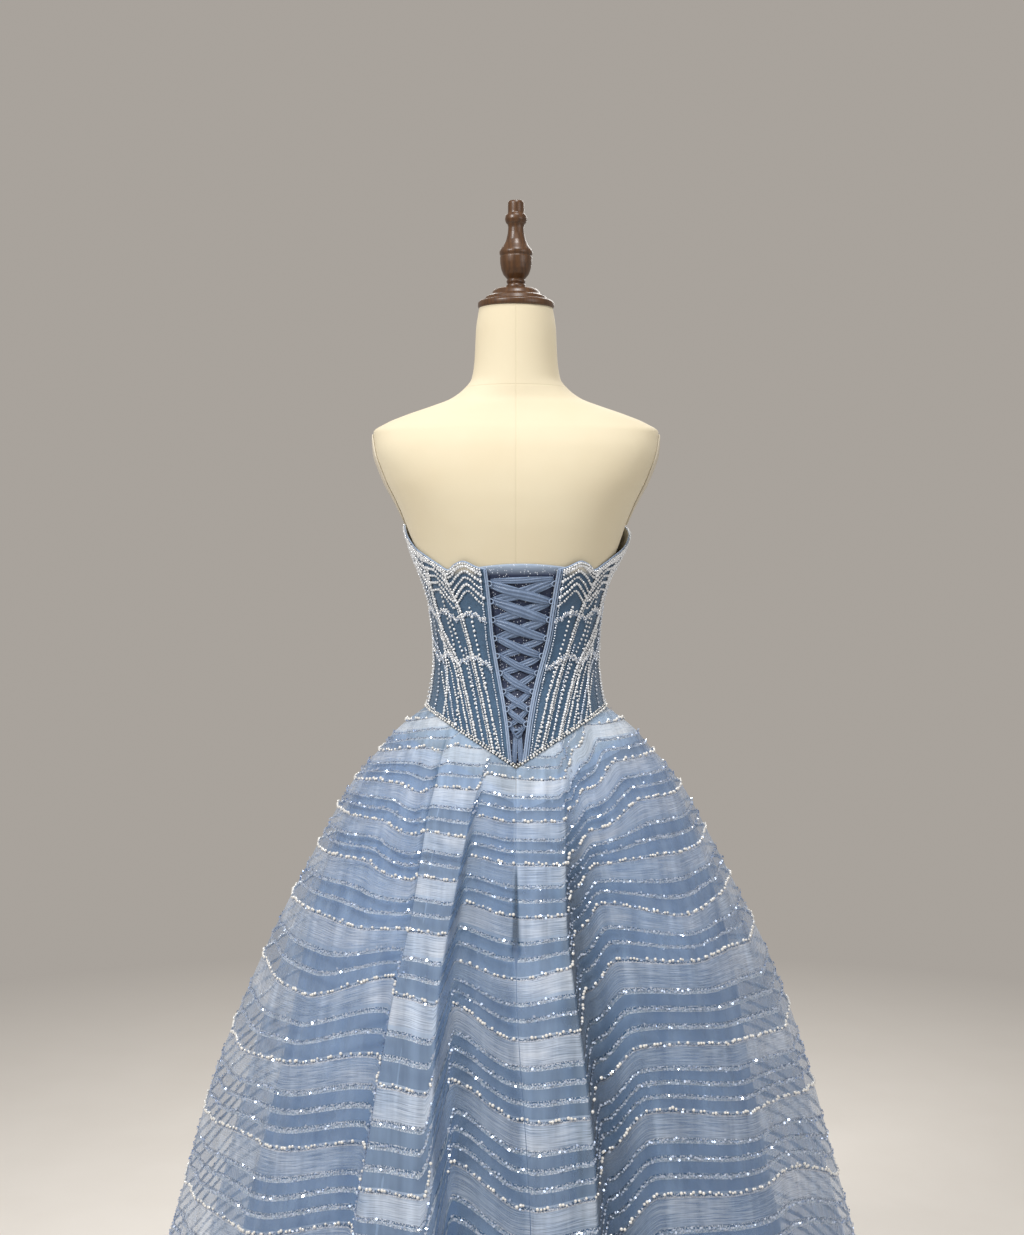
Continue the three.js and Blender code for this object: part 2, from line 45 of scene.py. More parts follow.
HEM_Z, UNDER_HEM_Z, NET_HEM_Z, ASIDE = 8, 22, 26, 5
WING_LEFT, WING_RIGHT = 2, 8
BUST_X, BUST_Z, BUST_RISE, BUST_WIDE, BUST_TALL = 82, 1252, 24, 40, 38

# Dress form: height, half width, back depth, front depth, squareness
BODY = [[880, 158, 114, 100, 2.2], [950, 151, 113, 102, 2.2], [1020, 117, 97, 95, 2.15],
        [1050, 110, 88, 90, 2.1], [1082, 106.5, 84, 88, 2.1], [1110, 107, 85, 92, 2.1],
        [1135, 109.5, 88, 98, 2.1], [1161, 113, 91, 104, 2.15], [1188, 121, 95, 112, 2.2],
        [1215, 131, 100, 119, 2.25], [1242, 139, 104, 122, 2.3], [1268, 148, 107, 120, 2.35],
        [1295, 161, 108, 112, 2.4], [1321, 175, 106, 101, 2.45], [1361, 188, 96, 82, 2.5],
        [1384, 189, 84, 68, 2.4], [1396, 172, 75, 60, 2.3], [1408, 143, 67, 54, 2.2],
        [1418, 114, 62, 51, 2.1], [1428, 88, 58, 48, 2.0], [1440, 71, 56, 46, 2.0],
        [1455, 59, 54, 46, 2.0], [1481, 55, 52, 46, 2.0], [1521, 53, 50, 47, 2.0],
        [1548, 49, 48, 47, 2.0]]
# Skirt ring: height, half width, depth as a share of the width
SKIRT = [[0, 544, 1.0], [200, 489, 1.0], [400, 434, 0.99], [500, 407, 0.985], [600, 374, 0.98],
         [700, 333, 0.97], [760, 304, 0.95], [820, 273, 0.92], [870, 247, 0.9], [910, 225, 0.885],
         [940, 203, 0.87], [965, 181, 0.86], [990, 162, 0.85], [1020, 132, 0.84]]
NECKLINE = [[22, 1202], [32, 1207], [41, 1214], [47, 1210], [53, 1203], [60, 1211], [68, 1221],
            [78, 1232], [90, 1250], [104, 1259], [120, 1272], [138, 1292], [155, 1295], [168, 1284],
            [180, 1270]]
OPENING = [[950, 6], [975, 9], [1005, 12.5], [1048, 20], [1081, 27], [1117, 34], [1147, 37.5],
           [1175, 41], [1215, 47]]
SEAM_ONE = [[950, 26], [977, 32], [1016, 41], [1047, 48], [1085, 58], [1120, 68], [1156, 80],
            [1190, 96], [1215, 103]]
SEAM_TWO = [[950, 46], [986, 53], [1040, 66], [1080, 77], [1113, 93], [1141, 104], [1215, 122]]
MODESTY_EDGE = [[950, 19], [1005, 30], [1048, 38], [1081, 46], [1147, 58], [1215, 66]]
TURN = [[950, 0.6], [1050, 1.6], [1117, 3.4], [1200, 4.2], [1300, 2]]
LOOP_Z = [1186, 1163, 1139, 1115, 1092, 1069, 1045, 1023, 1004]
PLEAT_L_OUT = [[0, -24.5], [480, -25.2], [545, -24.9], [748, -25.7], [920, -33], [985, -42]]
PLEAT_L_IN = [[0, -11.5], [480, -12.6], [545, -13.8], [748, -16.4], [920, -17], [985, -17.5]]
PLEAT_R_OUT = [[0, 12.8], [480, 12.3], [545, 12.6], [748, 11.8], [920, 19], [960, 27]]
CENTRE_BACK = [[0, 3.2], [480, 2.2], [545, 1.8], [748, 0], [1000, 0]]
# Heights of the bead lines of the striped cloth at the centre back, and how far each line lies
# above or below that at the left side, left of the left pleat, on it, in the valley beside it,
# right of the right pleat and at the right side
LINES = [1030, 985, 941, 894, 847, 793, 733, 666, 584, 500, 405, 300, 190, 80, -35]
AT_LEFT = [-30, -22, -15, -6, -8, -17, -39, -68, -85, -100, -105, -105, -95, -80, -55]
BY_PLEAT = [-10, -12, -15, -18, -20, -18, -13, -25, -33, -40, -45, -50, -50, -50, -50]
ON_PLEAT = [0, -5, -8, -12, -12, -17, -27, -48, -76, -80, -80, -80, -80, -80, -80]
IN_VALLEY = [0, 0, 5, 8, 10, 10, 12, 36, 34, 38, 38, 38, 38, 38, 38]
RIGHT_OF = [60, 60, 63, 66, 68, 66, 67, 80, 67, 79, 91, 90, 88, 85, 80]
AT_RIGHT = [15, 60, 63, 68, 72, 66, 67, 74, 39, 21, 0, 4, 10, 25, 30]
SEQUIN_UP = (0.44, 0.71)           # share of a repeat where the sequin ribbons run, upper repeats
SEQUIN_LOW = (0.37, 0.585, 0.795)  # and lower ones
SILK_UP, SILK_LOW = 0.40, 0.33     # share of a repeat where its plain silk ends
FIRST_LOW = 6


def smooth(table, z, k=1):
    """Smooth curve through the rows of a table; k is the column."""
    t = np.array(table, float)
    x, y, n = t[:, 0], t[:, k], len(t)
    s = np.diff(y) / np.diff(x)
    m = np.empty(n)
    m[0], m[-1] = s[0], s[-1]
    a, b = s[:-1], s[1:]
    m[1:-1] = np.where(a * b <= 0, 0, 2 * a * b / np.where(a + b == 0, 1, a + b))
    z = np.clip(z, x[0], x[-1])
    i = np.clip(np.searchsorted(x, z) - 1, 0, n - 2)
    h = x[i + 1] - x[i]
    u = (z - x[i]) / h
    return ((1 + 2 * u) * (1 - u) ** 2 * y[i] + u * (1 - u) ** 2 * h * m[i]
            + u * u * (3 - 2 * u) * y[i + 1] + u * u * (u - 1) * h * m[i + 1])


def ease(t):
    """Smooth step from 0 to 1."""
    c = np.clip(t, 0, 1)
    return c * c * (3 - 2 * c)


def wrap(phi):
    """The same angle between -pi and pi."""
    return (phi + np.pi) % (2 * np.pi) - np.pi


def body_radius(phi, z):
    """Radius of the dress form, with the bust at the front."""
    s, c, n = np.abs(np.sin(phi)), np.cos(phi), smooth(BODY, z, 4)
    b = np.where(c > 0, smooth(BODY, z, 2), smooth(BODY, z, 3))
    r = ((s / smooth(BODY, z, 1)) ** n + (np.abs(c) / b) ** n) ** (-1 / n)
    x = np.abs(r * np.sin(phi))
    bump = np.exp(-((x - BUST_X) / BUST_WIDE) ** 2 / 2 - ((z - BUST_Z) / BUST_TALL) ** 2 / 2)
    return r + np.where(c < 0, BUST_RISE * bump * ease(-c * 2.5), 0)


def on_radius(radius, phi, z):
    """Points at the radius that a function gives."""
    r = radius(phi, z)
    return np.stack([r * np.sin(phi), -r * np.cos(phi), z + 0 * r], -1)


def lifted(radius, phi, z, off):
    """Points moved off such a surface along its normal."""
    phi, z = np.broadcast_arrays(np.asarray(phi, float), np.asarray(z, float))
    across = on_radius(radius, phi + 1e-3, z) - on_radius(radius, phi - 1e-3, z)
    up = on_radius(radius, phi, z + 0.5) - on_radius(radius, phi, z - 0.5)
    n = np.cross(across, up)
    n /= np.linalg.norm(n, axis=-1, keepdims=True)
    return on_radius(radius, phi, z) + n * np.asarray(off + 0 * phi)[..., None]


def turn(z):
    """How far the laced opening is turned from the centre back."""
    return smooth(TURN, z) * DEG


def angle_at(x, z):
    """Angle of the point of the form that lies x to the side."""
    phi = np.arcsin(np.clip(np.abs(x) / 110, 0, 1))
    for _ in range(8):
        phi = np.arcsin(np.clip(np.abs(x) / (body_radius(phi, z) + 3), 0, 1))
    return phi * np.sign(x)


def waist_z(phi):
    """Height of the V-shaped waist seam."""
    return SEAM_SIDE_Z - np.where(np.cos(phi) > 0, DROP_BACK, DROP_FRONT) * (1 - np.abs(np.sin(phi)))


def neck_z(phi):
    return smooth(NECKLINE, np.abs(wrap(phi - turn(1215))) / DEG)


def climb(phi, z):
    """How far the bodice stands off the form, more at its sides and over the modesty panel."""
    edge = smooth(MODESTY_EDGE, z) + 16
    x = np.abs(body_radius(phi, z) * np.sin(wrap(phi) - turn(z)))
    side = np.exp(-((np.abs(wrap(phi)) / DEG - 90) / 17) ** 2) * ease((z - 1190) / 60)
    wing = np.where(wrap(phi) > 0, WING_RIGHT, WING_LEFT) * side
    front = 0.6 * ease(-np.cos(phi) * 3)
    back = (MODESTY + CLEAR + 0.15) * ease((edge - x) / 13)
    return CLEAR + wing + np.where(np.cos(phi) <= 0, front, back)


def bodice_point(phi, z, off):
    return lifted(body_radius, phi, z, climb(phi, z) + off)


def slimmed(phi, z):
    """The form's cover, drawn in a little under the gown."""
    return body_radius(phi, z) - 4 * ease((neck_z(phi) + 2 - z) / 28)


PHI_T = np.linspace(-np.pi, np.pi, 1441)
EDGE = bodice_point(PHI_T, waist_z(PHI_T), CLOTH) - np.array([0, 0, SEAM])
EDGE_R = np.hypot(EDGE[:, 0], EDGE[:, 1])


def fold(phi, z, drop):
    """Depth of the folds of the skirt, growing with the drop below the waist."""
    a = wrap(phi) / DEG
    lo, li, ro = smooth(PLEAT_L_OUT, z), smooth(PLEAT_L_IN, z), smooth(PLEAT_R_OUT, z)
    cb, one = smooth(CENTRE_BACK, z), np.ones_like(a)
    k = [(-180, 7), (-165, -7), (-150, 8), (-134, -8), (-118, 7), (-104, -5), (-90, 1), (-76, -3),
         (-62, 2), (-52, -1), (np.minimum(-40, lo - 6), 9), (lo - 1.6, -8), (lo, 11), (li, 13),
         (li + 1.8, -15), (cb - 0.5, 1), (cb + 0.9, 9), (ro, 9), (ro + 2.2, -8), (25 + ro * 0.1, -7),
         (41, 9), (56, -3), (66, 3), (78, -3), (90, 1), (104, -5), (118, 7), (134, -8), (150, 8),
         (165, -7), (180, 7)]
    f = 7 * one
    for (p, u), (q, v) in zip(k[:-1], k[1:]):
        f = np.where(a > p, u + (v - u) * ease((a - p) / (q - p)), f)
    return f * ease(drop / 260) * (0.62 + 0.38 * np.minimum(1, drop / 900))


def plain_skirt(phi, z):
    """Radius of the skirt without its folds."""
    def ring(h):
        a = smooth(SKIRT, h, 1)
        b = a * smooth(SKIRT, h, 2)
        return 1 / np.hypot(np.sin(phi) / a, np.cos(phi) / b)
    ez, er = np.interp(wrap(phi), PHI_T, EDGE[:, 2]), np.interp(wrap(phi), PHI_T, EDGE_R)
    drop = np.maximum(0, ez - z)
    spring = 26 + 52 * np.cos(phi) ** 2
    return (ring(z) - (ring(ez) - er) * np.exp(-(drop / spring) ** 1.2)
            - ASIDE * ease((700 - z) / 250) * np.sin(phi))


def skirt_radius(phi, z):
    return plain_skirt(phi, z) + fold(phi, z, np.maximum(0, waist_z(phi) - z))


rng = np.random.default_rng(7)
CREASES = [(f, rng.uniform(0, 6.28), rng.uniform(0.4, 1.2), rng.uniform(90, 260), 1.1 / (1 + k * 0.25))
           for k, f in enumerate([19, 27, 34, 46, 59, 77])]


def creased(phi, z):
    """Skirt radius with the cloth's own soft creases, none at the waist."""
    drop = np.maximum(0, waist_z(phi) - z)
    w = sum(a * np.sin(f * phi + p + q * np.sin(z / m + f)) for f, p, q, m, a in CREASES)
    w *= 0.6 + 0.4 * np.sin(5 * phi + z / 210)
    return skirt_radius(phi, z) + w * ease(drop / 160) * (0.5 + 0.9 * np.minimum(1, drop / 900))


def eased(a, xs, ys):
    """Smooth steps through points; a and the answer are arrays."""
    out = np.full(np.shape(a), float(ys[0]))
    for x0, y0, x1, y1 in zip(xs, ys, xs[1:], ys[1:]):
        out = np.where(a > x0, y0 + (y1 - y0) * ease((a - x0) / (x1 - x0)), out)
    return out


def line_heights(phi):
    """Height of every bead line at phi, one line a column."""
    a, out = wrap(phi) / DEG, []
    for n, z0 in enumerate(LINES):
        z = float(np.clip(z0, 0, 960))
        lo, li = float(smooth(PLEAT_L_OUT, z)), float(smooth(PLEAT_L_IN, z))
        ro, cb = float(smooth(PLEAT_R_OUT, z)), float(smooth(CENTRE_BACK, z))
        low = float(ease((860 - z0) / 130))
        xs = [-180, -135, -90, min(-50, lo - 8), lo - 2, lo, li, li + 1.8, cb - 0.5, cb + 0.9, ro,
              ro + 3.2, ro + 12, 50, 90, 135, 180]
        ys = [-25, AT_LEFT[n] * 0.5 - 5, AT_LEFT[n], AT_LEFT[n] * 0.5 - 22 * low, BY_PLEAT[n], ON_PLEAT[n],
              ON_PLEAT[n] - 4, IN_VALLEY[n], 0, 0, 6 * low, RIGHT_OF[n] * (0.2 + 0.4 * low),
              RIGHT_OF[n] * (0.55 + 0.45 * low), RIGHT_OF[n] - 16 * low,
              AT_RIGHT[n], AT_RIGHT[n] * 0.5, -25]
        out.append(z0 + eased(a, xs, ys) + (1 + 2.5 * low) * np.sin(a * 0.13 + n * 1.9))
    return np.stack(out, -1)


def band(phi, z):
    """Which repeat of the cloth is at this height, counted down from the first bead line."""
    lines = line_heights(phi)
    out = np.zeros_like(z)
    for n in range(lines.shape[-1] - 1):
        t = (lines[..., n] - z) / (lines[..., n] - lines[..., n + 1])
        out = np.where(t > 0, n + np.minimum(t, 1.0), out)
    above = (lines[..., 0] - z) / 40
    return np.where(above < 0, above, out)


# Meshes
def build(name, co, faces, mat, uv=None, extra=None, soft=True):
    """Mesh object from points in mm and one or more lists of faces."""
    me = bpy.data.meshes.new(name)
    co = np.asarray(co, float).reshape(-1, 3) * 0.001
    groups = [np.asarray(f, np.int32) for f in (faces if isinstance(faces, list) else [faces])]
    loops = np.concatenate([f.ravel() for f in groups])
    sizes = np.concatenate([np.full(len(f), f.shape[1]) for f in groups])
    n = len(sizes)
    me.vertices.add(len(co))
    me.vertices.foreach_set("co", co.ravel())
    me.loops.add(len(loops))
    me.loops.foreach_set("vertex_index", loops)
    me.polygons.add(n)
    me.polygons.foreach_set("loop_start", np.concatenate([[0], np.cumsum(sizes)[:-1]]).astype(np.int32))
    me.update(calc_edges=True)
    if uv is not None:
        layer = me.uv_layers.new(name="UVMap")
        layer.data.foreach_set("uv", np.asarray(uv, float).reshape(-1, 2)[loops].ravel())
    for key, values in (extra or {}).items():
        me.attributes.new(key, "FLOAT", "POINT").data.foreach_set("value", np.ravel(values))
    me.polygons.foreach_set("use_smooth", np.full(n, soft))
    me.materials.append(mat)
    me.validate()
    o = bpy.data.objects.new(name, me)
    bpy.context.scene.collection.objects.link(o)
    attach(o, "root")
    return o


def quads(nu, nv, closed=False, base=0):
    cols = nu if closed else nu + 1
    i, j = np.meshgrid(np.arange(nu), np.arange(nv))
    a, b = j * cols + i, j * cols + (i + 1) % cols
    return np.stack([a, b, b + cols, a + cols], -1).reshape(-1, 4) + base


def end_caps(cols, rows):
    """Triangles that close both ends of a tube of rings; its two middle points come last."""
    i, n = np.arange(cols), cols * rows
    k = (i + 1) % cols
    return np.concatenate([np.stack([k, i, np.full(cols, n)], -1),
                           np.stack([i + n - cols, k + n - cols, np.full(cols, n + 1)], -1)])


def wall(inner, outer, closed=False):
    """Closed wall between two grids of points, each rows by columns."""
    rows, cols = outer.shape[:2]
    nu, nv, half = (cols if closed else cols - 1), rows - 1, rows * cols
    co = np.concatenate([inner.reshape(-1, 3), outer.reshape(-1, 3)])
    faces = [quads(nu, nv, closed)[:, ::-1], quads(nu, nv, closed, half)]
    i = np.arange(nu)
    k = (i + 1) % cols if closed else i + 1
    top = nv * cols
    faces.append(np.stack([i, k, k + half, i + half], -1))
    faces.append(np.stack([top + i + half, top + k + half, top + k, top + i], -1))
    if not closed:
        j = np.arange(nv) * cols
        faces.append(np.stack([j + half, j + cols + half, j + cols, j], -1))
        e = j + nu
        faces.append(np.stack([e, e + cols, e + cols + half, e + half], -1))
    return co, np.concatenate(faces)


def ball(nu, nv):
    """Unit ball: rings of quads between two poles."""
    a = np.linspace(0, 2 * np.pi, nu, endpoint=False)
    b = np.linspace(0, np.pi, nv + 1)[1:-1]
    rings = np.stack([np.outer(np.sin(b), np.cos(a)), np.outer(np.sin(b), np.sin(a)),
                      np.repeat(np.cos(b)[:, None], nu, 1)], -1).reshape(-1, 3)
    k, n = np.arange(nu), len(rings)
    nxt, pole = (k + 1) % nu, np.full(nu, n)
    caps = np.concatenate([np.stack([k, nxt, pole], -1),
                           np.stack([pole + 1, n - nu + nxt, n - nu + k], -1)])
    return np.concatenate([rings, [[0, 0, 1], [0, 0, -1]]]), [quads(nu, nv - 2, True)[:, ::-1], caps]


def scatter(shape, at, size):
    """Many copies of one small shape: at = centres, size = radius of each."""
    co, faces = shape
    out = at[:, None, :] + co[None] * size[:, None, None]
    step = (np.arange(len(at)) * len(co))[:, None, None]
    return out.reshape(-1, 3), [(f[None] + step).reshape(-1, f.shape[1]) for f in faces]


def resample(path, step, rand=None):
    """Points along a polyline, a step apart or at the distances that rand(total) gives."""
    d = np.concatenate([[0], np.cumsum(np.linalg.norm(np.diff(path, axis=0), axis=1))])
    at = np.arange(step / 2, d[-1], step) if rand is None else rand(d[-1])
    return np.stack([np.interp(at, d, path[:, k]) for k in range(path.shape[1])], -1)


# Materials
def lin(hex_):
    v = [int(hex_[i:i + 2], 16) / 255 for i in (0, 2, 4)]
    return tuple(c / 12.92 if c < 0.04045 else ((c + 0.055) / 1.055) ** 2.4 for c in v) + (1,)


class Mat:
    """A node material; add() makes one node, sets its fields and fills or links its inputs."""

    def __init__(self, name):
        self.m = bpy.data.materials.new(name)
        self.m.use_nodes = True
        self.t = self.m.node_tree
        self.t.nodes.clear()

    def add(self, kind, fields=None, **ins):
        n = self.t.nodes.new(kind)
        for k, v in (fields or {}).items():
            setattr(n, k, v)
        for k, v in ins.items():
            numbered = k[0] == "i" and k[1:].isdigit()
            socket = n.inputs[int(k[1:]) if numbered else k.replace("_", " ")]
            if isinstance(v, bpy.types.NodeSocket):
                self.t.links.new(v, socket)
            else:
                socket.default_value = v
        return n

    def math(self, op, a, b=0.0, c=0.0):
        return self.add("ShaderNodeMath", {"operation": op}, i0=a, i1=b, i2=c).outputs[0]

    def mul(self, a, b):
        return self.math("MULTIPLY", a, b)

    def plus(self, a, b):
        return self.math("ADD", a, b)

    def minus(self, a, b):
        return self.math("SUBTRACT", a, b)

    def clamp(self, a, top=1.0):
        return self.math("MINIMUM", self.math("MAXIMUM", a, 0.0), top)

    def mix(self, fac, a, b):
        n = self.add("ShaderNodeMix", {"data_type": "RGBA"}, i0=fac, i6=a, i7=b)
        return n.outputs[2]

    def ramp(self, fac, stops, mode="LINEAR"):
        n = self.add("ShaderNodeValToRGB", None, i0=fac)
        e = n.color_ramp.elements
        n.color_ramp.interpolation = mode
        while len(e) < len(stops):
            e.new(0.5)
        for el, (p, c) in zip(e, stops):
            el.position = p
            el.color = (c, c, c, 1) if isinstance(c, (int, float)) else c
        return n.outputs[0]

    def noise(self, vec, scale, detail=3.0, rough=0.5):
        return self.add("ShaderNodeTexNoise", None, Vector=vec, Scale=scale, Detail=detail,
                        Roughness=rough).outputs[0]

    def vec(self, x, y, z=0.0):
        return self.add("ShaderNodeCombineXYZ", None, i0=x, i1=y, i2=z).outputs[0]

    def uv(self):
        s = self.add("ShaderNodeSeparateXYZ", None, i0=self.add("ShaderNodeUVMap").outputs[0])
        return s.outputs[0], s.outputs[1]

    def place(self):
        o = self.add("ShaderNodeTexCoord").outputs["Object"]
        s = self.add("ShaderNodeSeparateXYZ", None, i0=o)
        return o, s.outputs[0], s.outputs[1], s.outputs[2]

    def attr(self, name):
        return self.add("ShaderNodeAttribute", {"attribute_name": name}).outputs["Fac"]

    def bump(self, height, strength, distance=0.0006):
        return self.add("ShaderNodeBump", None, Strength=strength, Distance=distance,
                        Height=height).outputs[0]

    def done(self, shader):
        self.add("ShaderNodeOutputMaterial", None, i0=shader)
        return self.m

    def principled(self, **ins):
        return self.add("ShaderNodeBsdfPrincipled", None, **ins).outputs[0]


def weave(m, u, v, per_metre):
    """Fine over-and-under weave from two coordinates in metres; the result runs from 0 to 1."""
    a = m.math("SINE", m.mul(u, per_metre * 6.283))
    b = m.math("SINE", m.mul(v, per_metre * 6.283))
    return m.math("MULTIPLY_ADD", m.mul(a, b), 0.5, 0.5)


def organza():
    """Sheer striped cloth: u is metres round, v counts repeats down, dens adds cloth where it is doubled."""
    m = Mat("striped_organza")
    u, v = m.uv()
    t = m.math("FRACT", m.plus(v, 20.0))
    low = m.math("GREATER_THAN", v, FIRST_LOW + 1 - 0.001)
    mm = m.mul(v, 0.08)
    threads = m.noise(m.vec(m.mul(u, 26.0), m.mul(mm, 950.0)), 1.0, 2.0, 0.6)
    patch = m.noise(m.vec(m.mul(u, 9.0), m.mul(v, 1.3)), 1.0, 2.0)
    creases = m.noise(m.vec(m.mul(u, 70.0), m.mul(v, 0.7)), 1.0, 3.0)

    def stripes(lines, silk_end):
        stops = [(0.0, 0.9), (0.03, 0.85), (0.045, 0.42), (silk_end, 0.42)]
        for s in lines:
            stops += [(s - 0.04, 0.85), (s + 0.034, 0.25)]
        return m.ramp(t, stops + [(0.975, 0.5)], "CONSTANT")

    def tint(lines, silk_end):
        edge, silk = lin("6283aa"), lin("c2d3e8")
        sheer, ribbon = lin("a7c0de"), lin("6385ac")
        stops = [(0.0, edge), (0.03, lin("dfe6f3")), (0.045, silk), (silk_end, silk)]
        for s in lines:
            stops += [(s - 0.04, ribbon), (s - 0.008, lin("c0d6ee")), (s + 0.034, sheer)]
        return m.ramp(t, stops + [(0.975, lin("bacce2"))], "CONSTANT")

    alpha = m.plus(m.mul(stripes(SEQUIN_LOW, SILK_LOW), low),
                   m.mul(stripes(SEQUIN_UP, SILK_UP), m.minus(1.0, low)))
    colour = m.mix(low, tint(SEQUIN_UP, SILK_UP), tint(SEQUIN_LOW, SILK_LOW))
    braid, window = m.math("GREATER_THAN", alpha, 0.7), m.math("LESS_THAN", alpha, 0.3)
    # Painted glints: small specks where the sequin braid is painted almost white
    glint_specks = m.noise(m.vec(m.mul(u, 620.0), m.mul(mm, 620.0)), 1.0, 1.0)
    glint_specks = m.mul(m.minus(glint_specks, 0.46), 6.5)
    glint_specks = m.clamp(glint_specks)
    lit = m.mul(braid, glint_specks)
    silky = m.mul(m.math("GREATER_THAN", t, 0.045), m.math("LESS_THAN", t, 0.35))
    streak = m.mul(m.minus(threads, 0.5), silky)
    alpha = m.plus(alpha, m.mul(streak, 1.3))
    alpha = m.plus(alpha, m.mul(m.minus(patch, 0.5), 0.55))
    alpha = m.plus(alpha, m.mul(m.minus(creases, 0.5), 0.18))
    dens = m.attr("dens")
    gap = m.minus(1.0, m.math("MINIMUM", alpha, 0.98))
    alpha = m.minus(1.0, m.math("POWER", gap, m.plus(1.0, dens)))
    shade = m.math("MULTIPLY_ADD", creases, 0.9, 0.62)
    glare = m.plus(m.minus(threads, 0.5), m.math("MULTIPLY_ADD", patch, 1.6, -0.6))
    colour = m.mix(m.clamp(m.mul(glare, silky), 0.9), colour, lin("f4f7fc"))
    shade = m.mul(shade, m.math("MULTIPLY_ADD", m.attr("shade"), -0.42, 1.0))
    # Painted glints on the braid, and painted shade on the braid's unlit rest
    colour = m.mix(m.mul(lit, 0.8), colour, lin("eff4fb"))
    unlit = m.mul(m.minus(braid, lit), 0.34)
    doubled = m.mul(dens, m.math("LESS_THAN", dens, 2.4))
    # Painted shade: sheer windows where the cloth is doubled are painted darker, as over shadow
    doubled_window_shade = m.mul(m.mul(window, doubled), 0.13)
    shade = m.mul(shade, m.minus(m.minus(1.0, unlit), doubled_window_shade))
    # Painted shade also deepens the saturation of the colour
    shade_saturation = m.math("MULTIPLY_ADD", m.attr("shade"), 0.38, 1.0)
    hsv = m.add("ShaderNodeHueSaturation", None, Saturation=shade_saturation, Value=shade, Color=colour).outputs[0]
    bump = m.bump(m.plus(threads, weave(m, u, mm, 1400)), 0.35, 0.0004)
    cloth = m.principled(Base_Color=hsv, Roughness=0.5, Specular_IOR_Level=0.35, Normal=bump,
                         Sheen_Weight=0.35, Sheen_Roughness=0.4)
    through = m.add("ShaderNodeBsdfTranslucent", None, Color=hsv, Normal=bump).outputs[0]
    solid = m.add("ShaderNodeMixShader", None, i0=0.3, i1=cloth, i2=through).outputs[0]
    clear = m.add("ShaderNodeBsdfTransparent", None, Color=(0.97, 0.98, 1.0, 1)).outputs[0]
    return m.done(m.add("ShaderNodeMixShader", None, i0=alpha, i1=clear, i2=solid).outputs[0])


def satin(name, light, dark, rough=0.36, scale=1.0, sheen=0.3, per_metre=1600, deep=0.5):
    m = Mat(name)
    u, v = m.uv()
    streak = m.noise(m.vec(m.mul(u, 160.0 * scale), m.mul(v, 7.0 * scale)), 1.0)
    cloud = m.noise(m.vec(u, v), 14.0 * scale, 2.0)
    fac = m.math("MULTIPLY_ADD", cloud, 0.6, m.mul(streak, 0.4))
    bump = m.bump(m.plus(streak, weave(m, u, v, per_metre)), 0.3, 0.0005)
    # Painted shade: the 'shade' attribute, scaled by deep, darkens the colour
    value = m.math("MULTIPLY_ADD", m.attr("shade"), -deep, 1.0)
    colour = m.add("ShaderNodeHueSaturation", None, Value=value, Color=m.mix(fac, dark, light)).outputs[0]
    return m.done(m.principled(Base_Color=colour, Roughness=rough, Normal=bump,
                               Sheen_Weight=sheen, Sheen_Roughness=0.35, Anisotropic=0.4,
                               Specular_IOR_Level=0.5))


def bodice_cloth():
    """Dusty blue net over satin; ivory is 1 where the neckline's peaks are lined in ivory."""
    m = Mat("bodice_cloth")
    u, v = m.uv()
    cells = m.noise(m.vec(m.mul(u, 120.0), m.mul(v, 320.0)), 1.0, 3.0)
    cloud = m.noise(m.vec(u, v), 32.0, 2.0)
    fac = m.math("MULTIPLY_ADD", cells, 0.55, m.mul(cloud, 0.45))
    blue = m.mix(fac, lin("1f3b56"), lin("54799b"))
    colour = m.mix(m.attr("ivory"), blue, lin("e9e4d6"))
    bump = m.bump(m.plus(cells, weave(m, u, v, 1100)), 0.5, 0.0006)
    return m.done(m.principled(Base_Color=colour, Roughness=0.48, Normal=bump, Sheen_Weight=0.3,
                               Sheen_Roughness=0.4, Specular_IOR_Level=0.5))


def glitter_cloth():
    """Deep blue satin with small painted glints and a pale rim along its top; below the rim its deep navy is
    partly its own colour and partly painted shadow under the lacing.
    """
    m = Mat("modesty_satin")
    u, v = m.uv()
    # Painted glints: small white dots scattered over the satin
    vor = m.add("ShaderNodeTexVoronoi", {"feature": "F1"}, Vector=m.vec(u, v), Scale=430.0)
    spot = m.math("LESS_THAN", vor.outputs[0], 0.3)
    pick = m.math("GREATER_THAN", m.add("ShaderNodeSeparateColor", None, i0=vor.outputs[1]).outputs[0], 0.62)
    dot = m.mul(spot, pick)
    cloud = m.noise(m.vec(u, v), 30.0)
    rim = m.clamp(m.math("MULTIPLY_ADD", v, 90.0, -1.196 * 90))
    # Deep navy: the satin's own blue, darkened further as painted shadow under the lacing
    deep = m.mix(cloud, lin("101b33"), lin("26385f"))
    colour = m.mix(dot, m.mix(rim, deep, lin("a3b5cc")), lin("dfe8f6"))
    rough = m.math("MULTIPLY_ADD", dot, -0.3, 0.45)
    bump = m.bump(m.plus(dot, weave(m, u, v, 1500)), 0.4, 0.0005)
    return m.done(m.principled(Base_Color=colour, Roughness=rough, Normal=bump, Sheen_Weight=0.15))


def gem(name, colour, dark, rough, metal, coat, scale=900.0):
    """Bead or sequin finish."""
    m = Mat(name)
    o = m.place()[0]
    n = m.noise(o, scale, 1.0)
    return m.done(m.principled(Base_Color=m.mix(n, dark, colour), Roughness=rough, Metallic=metal,
                               Coat_Weight=coat, Coat_Roughness=0.08, Specular_IOR_Level=0.6))


SEAM_GROOVE = 0.0007


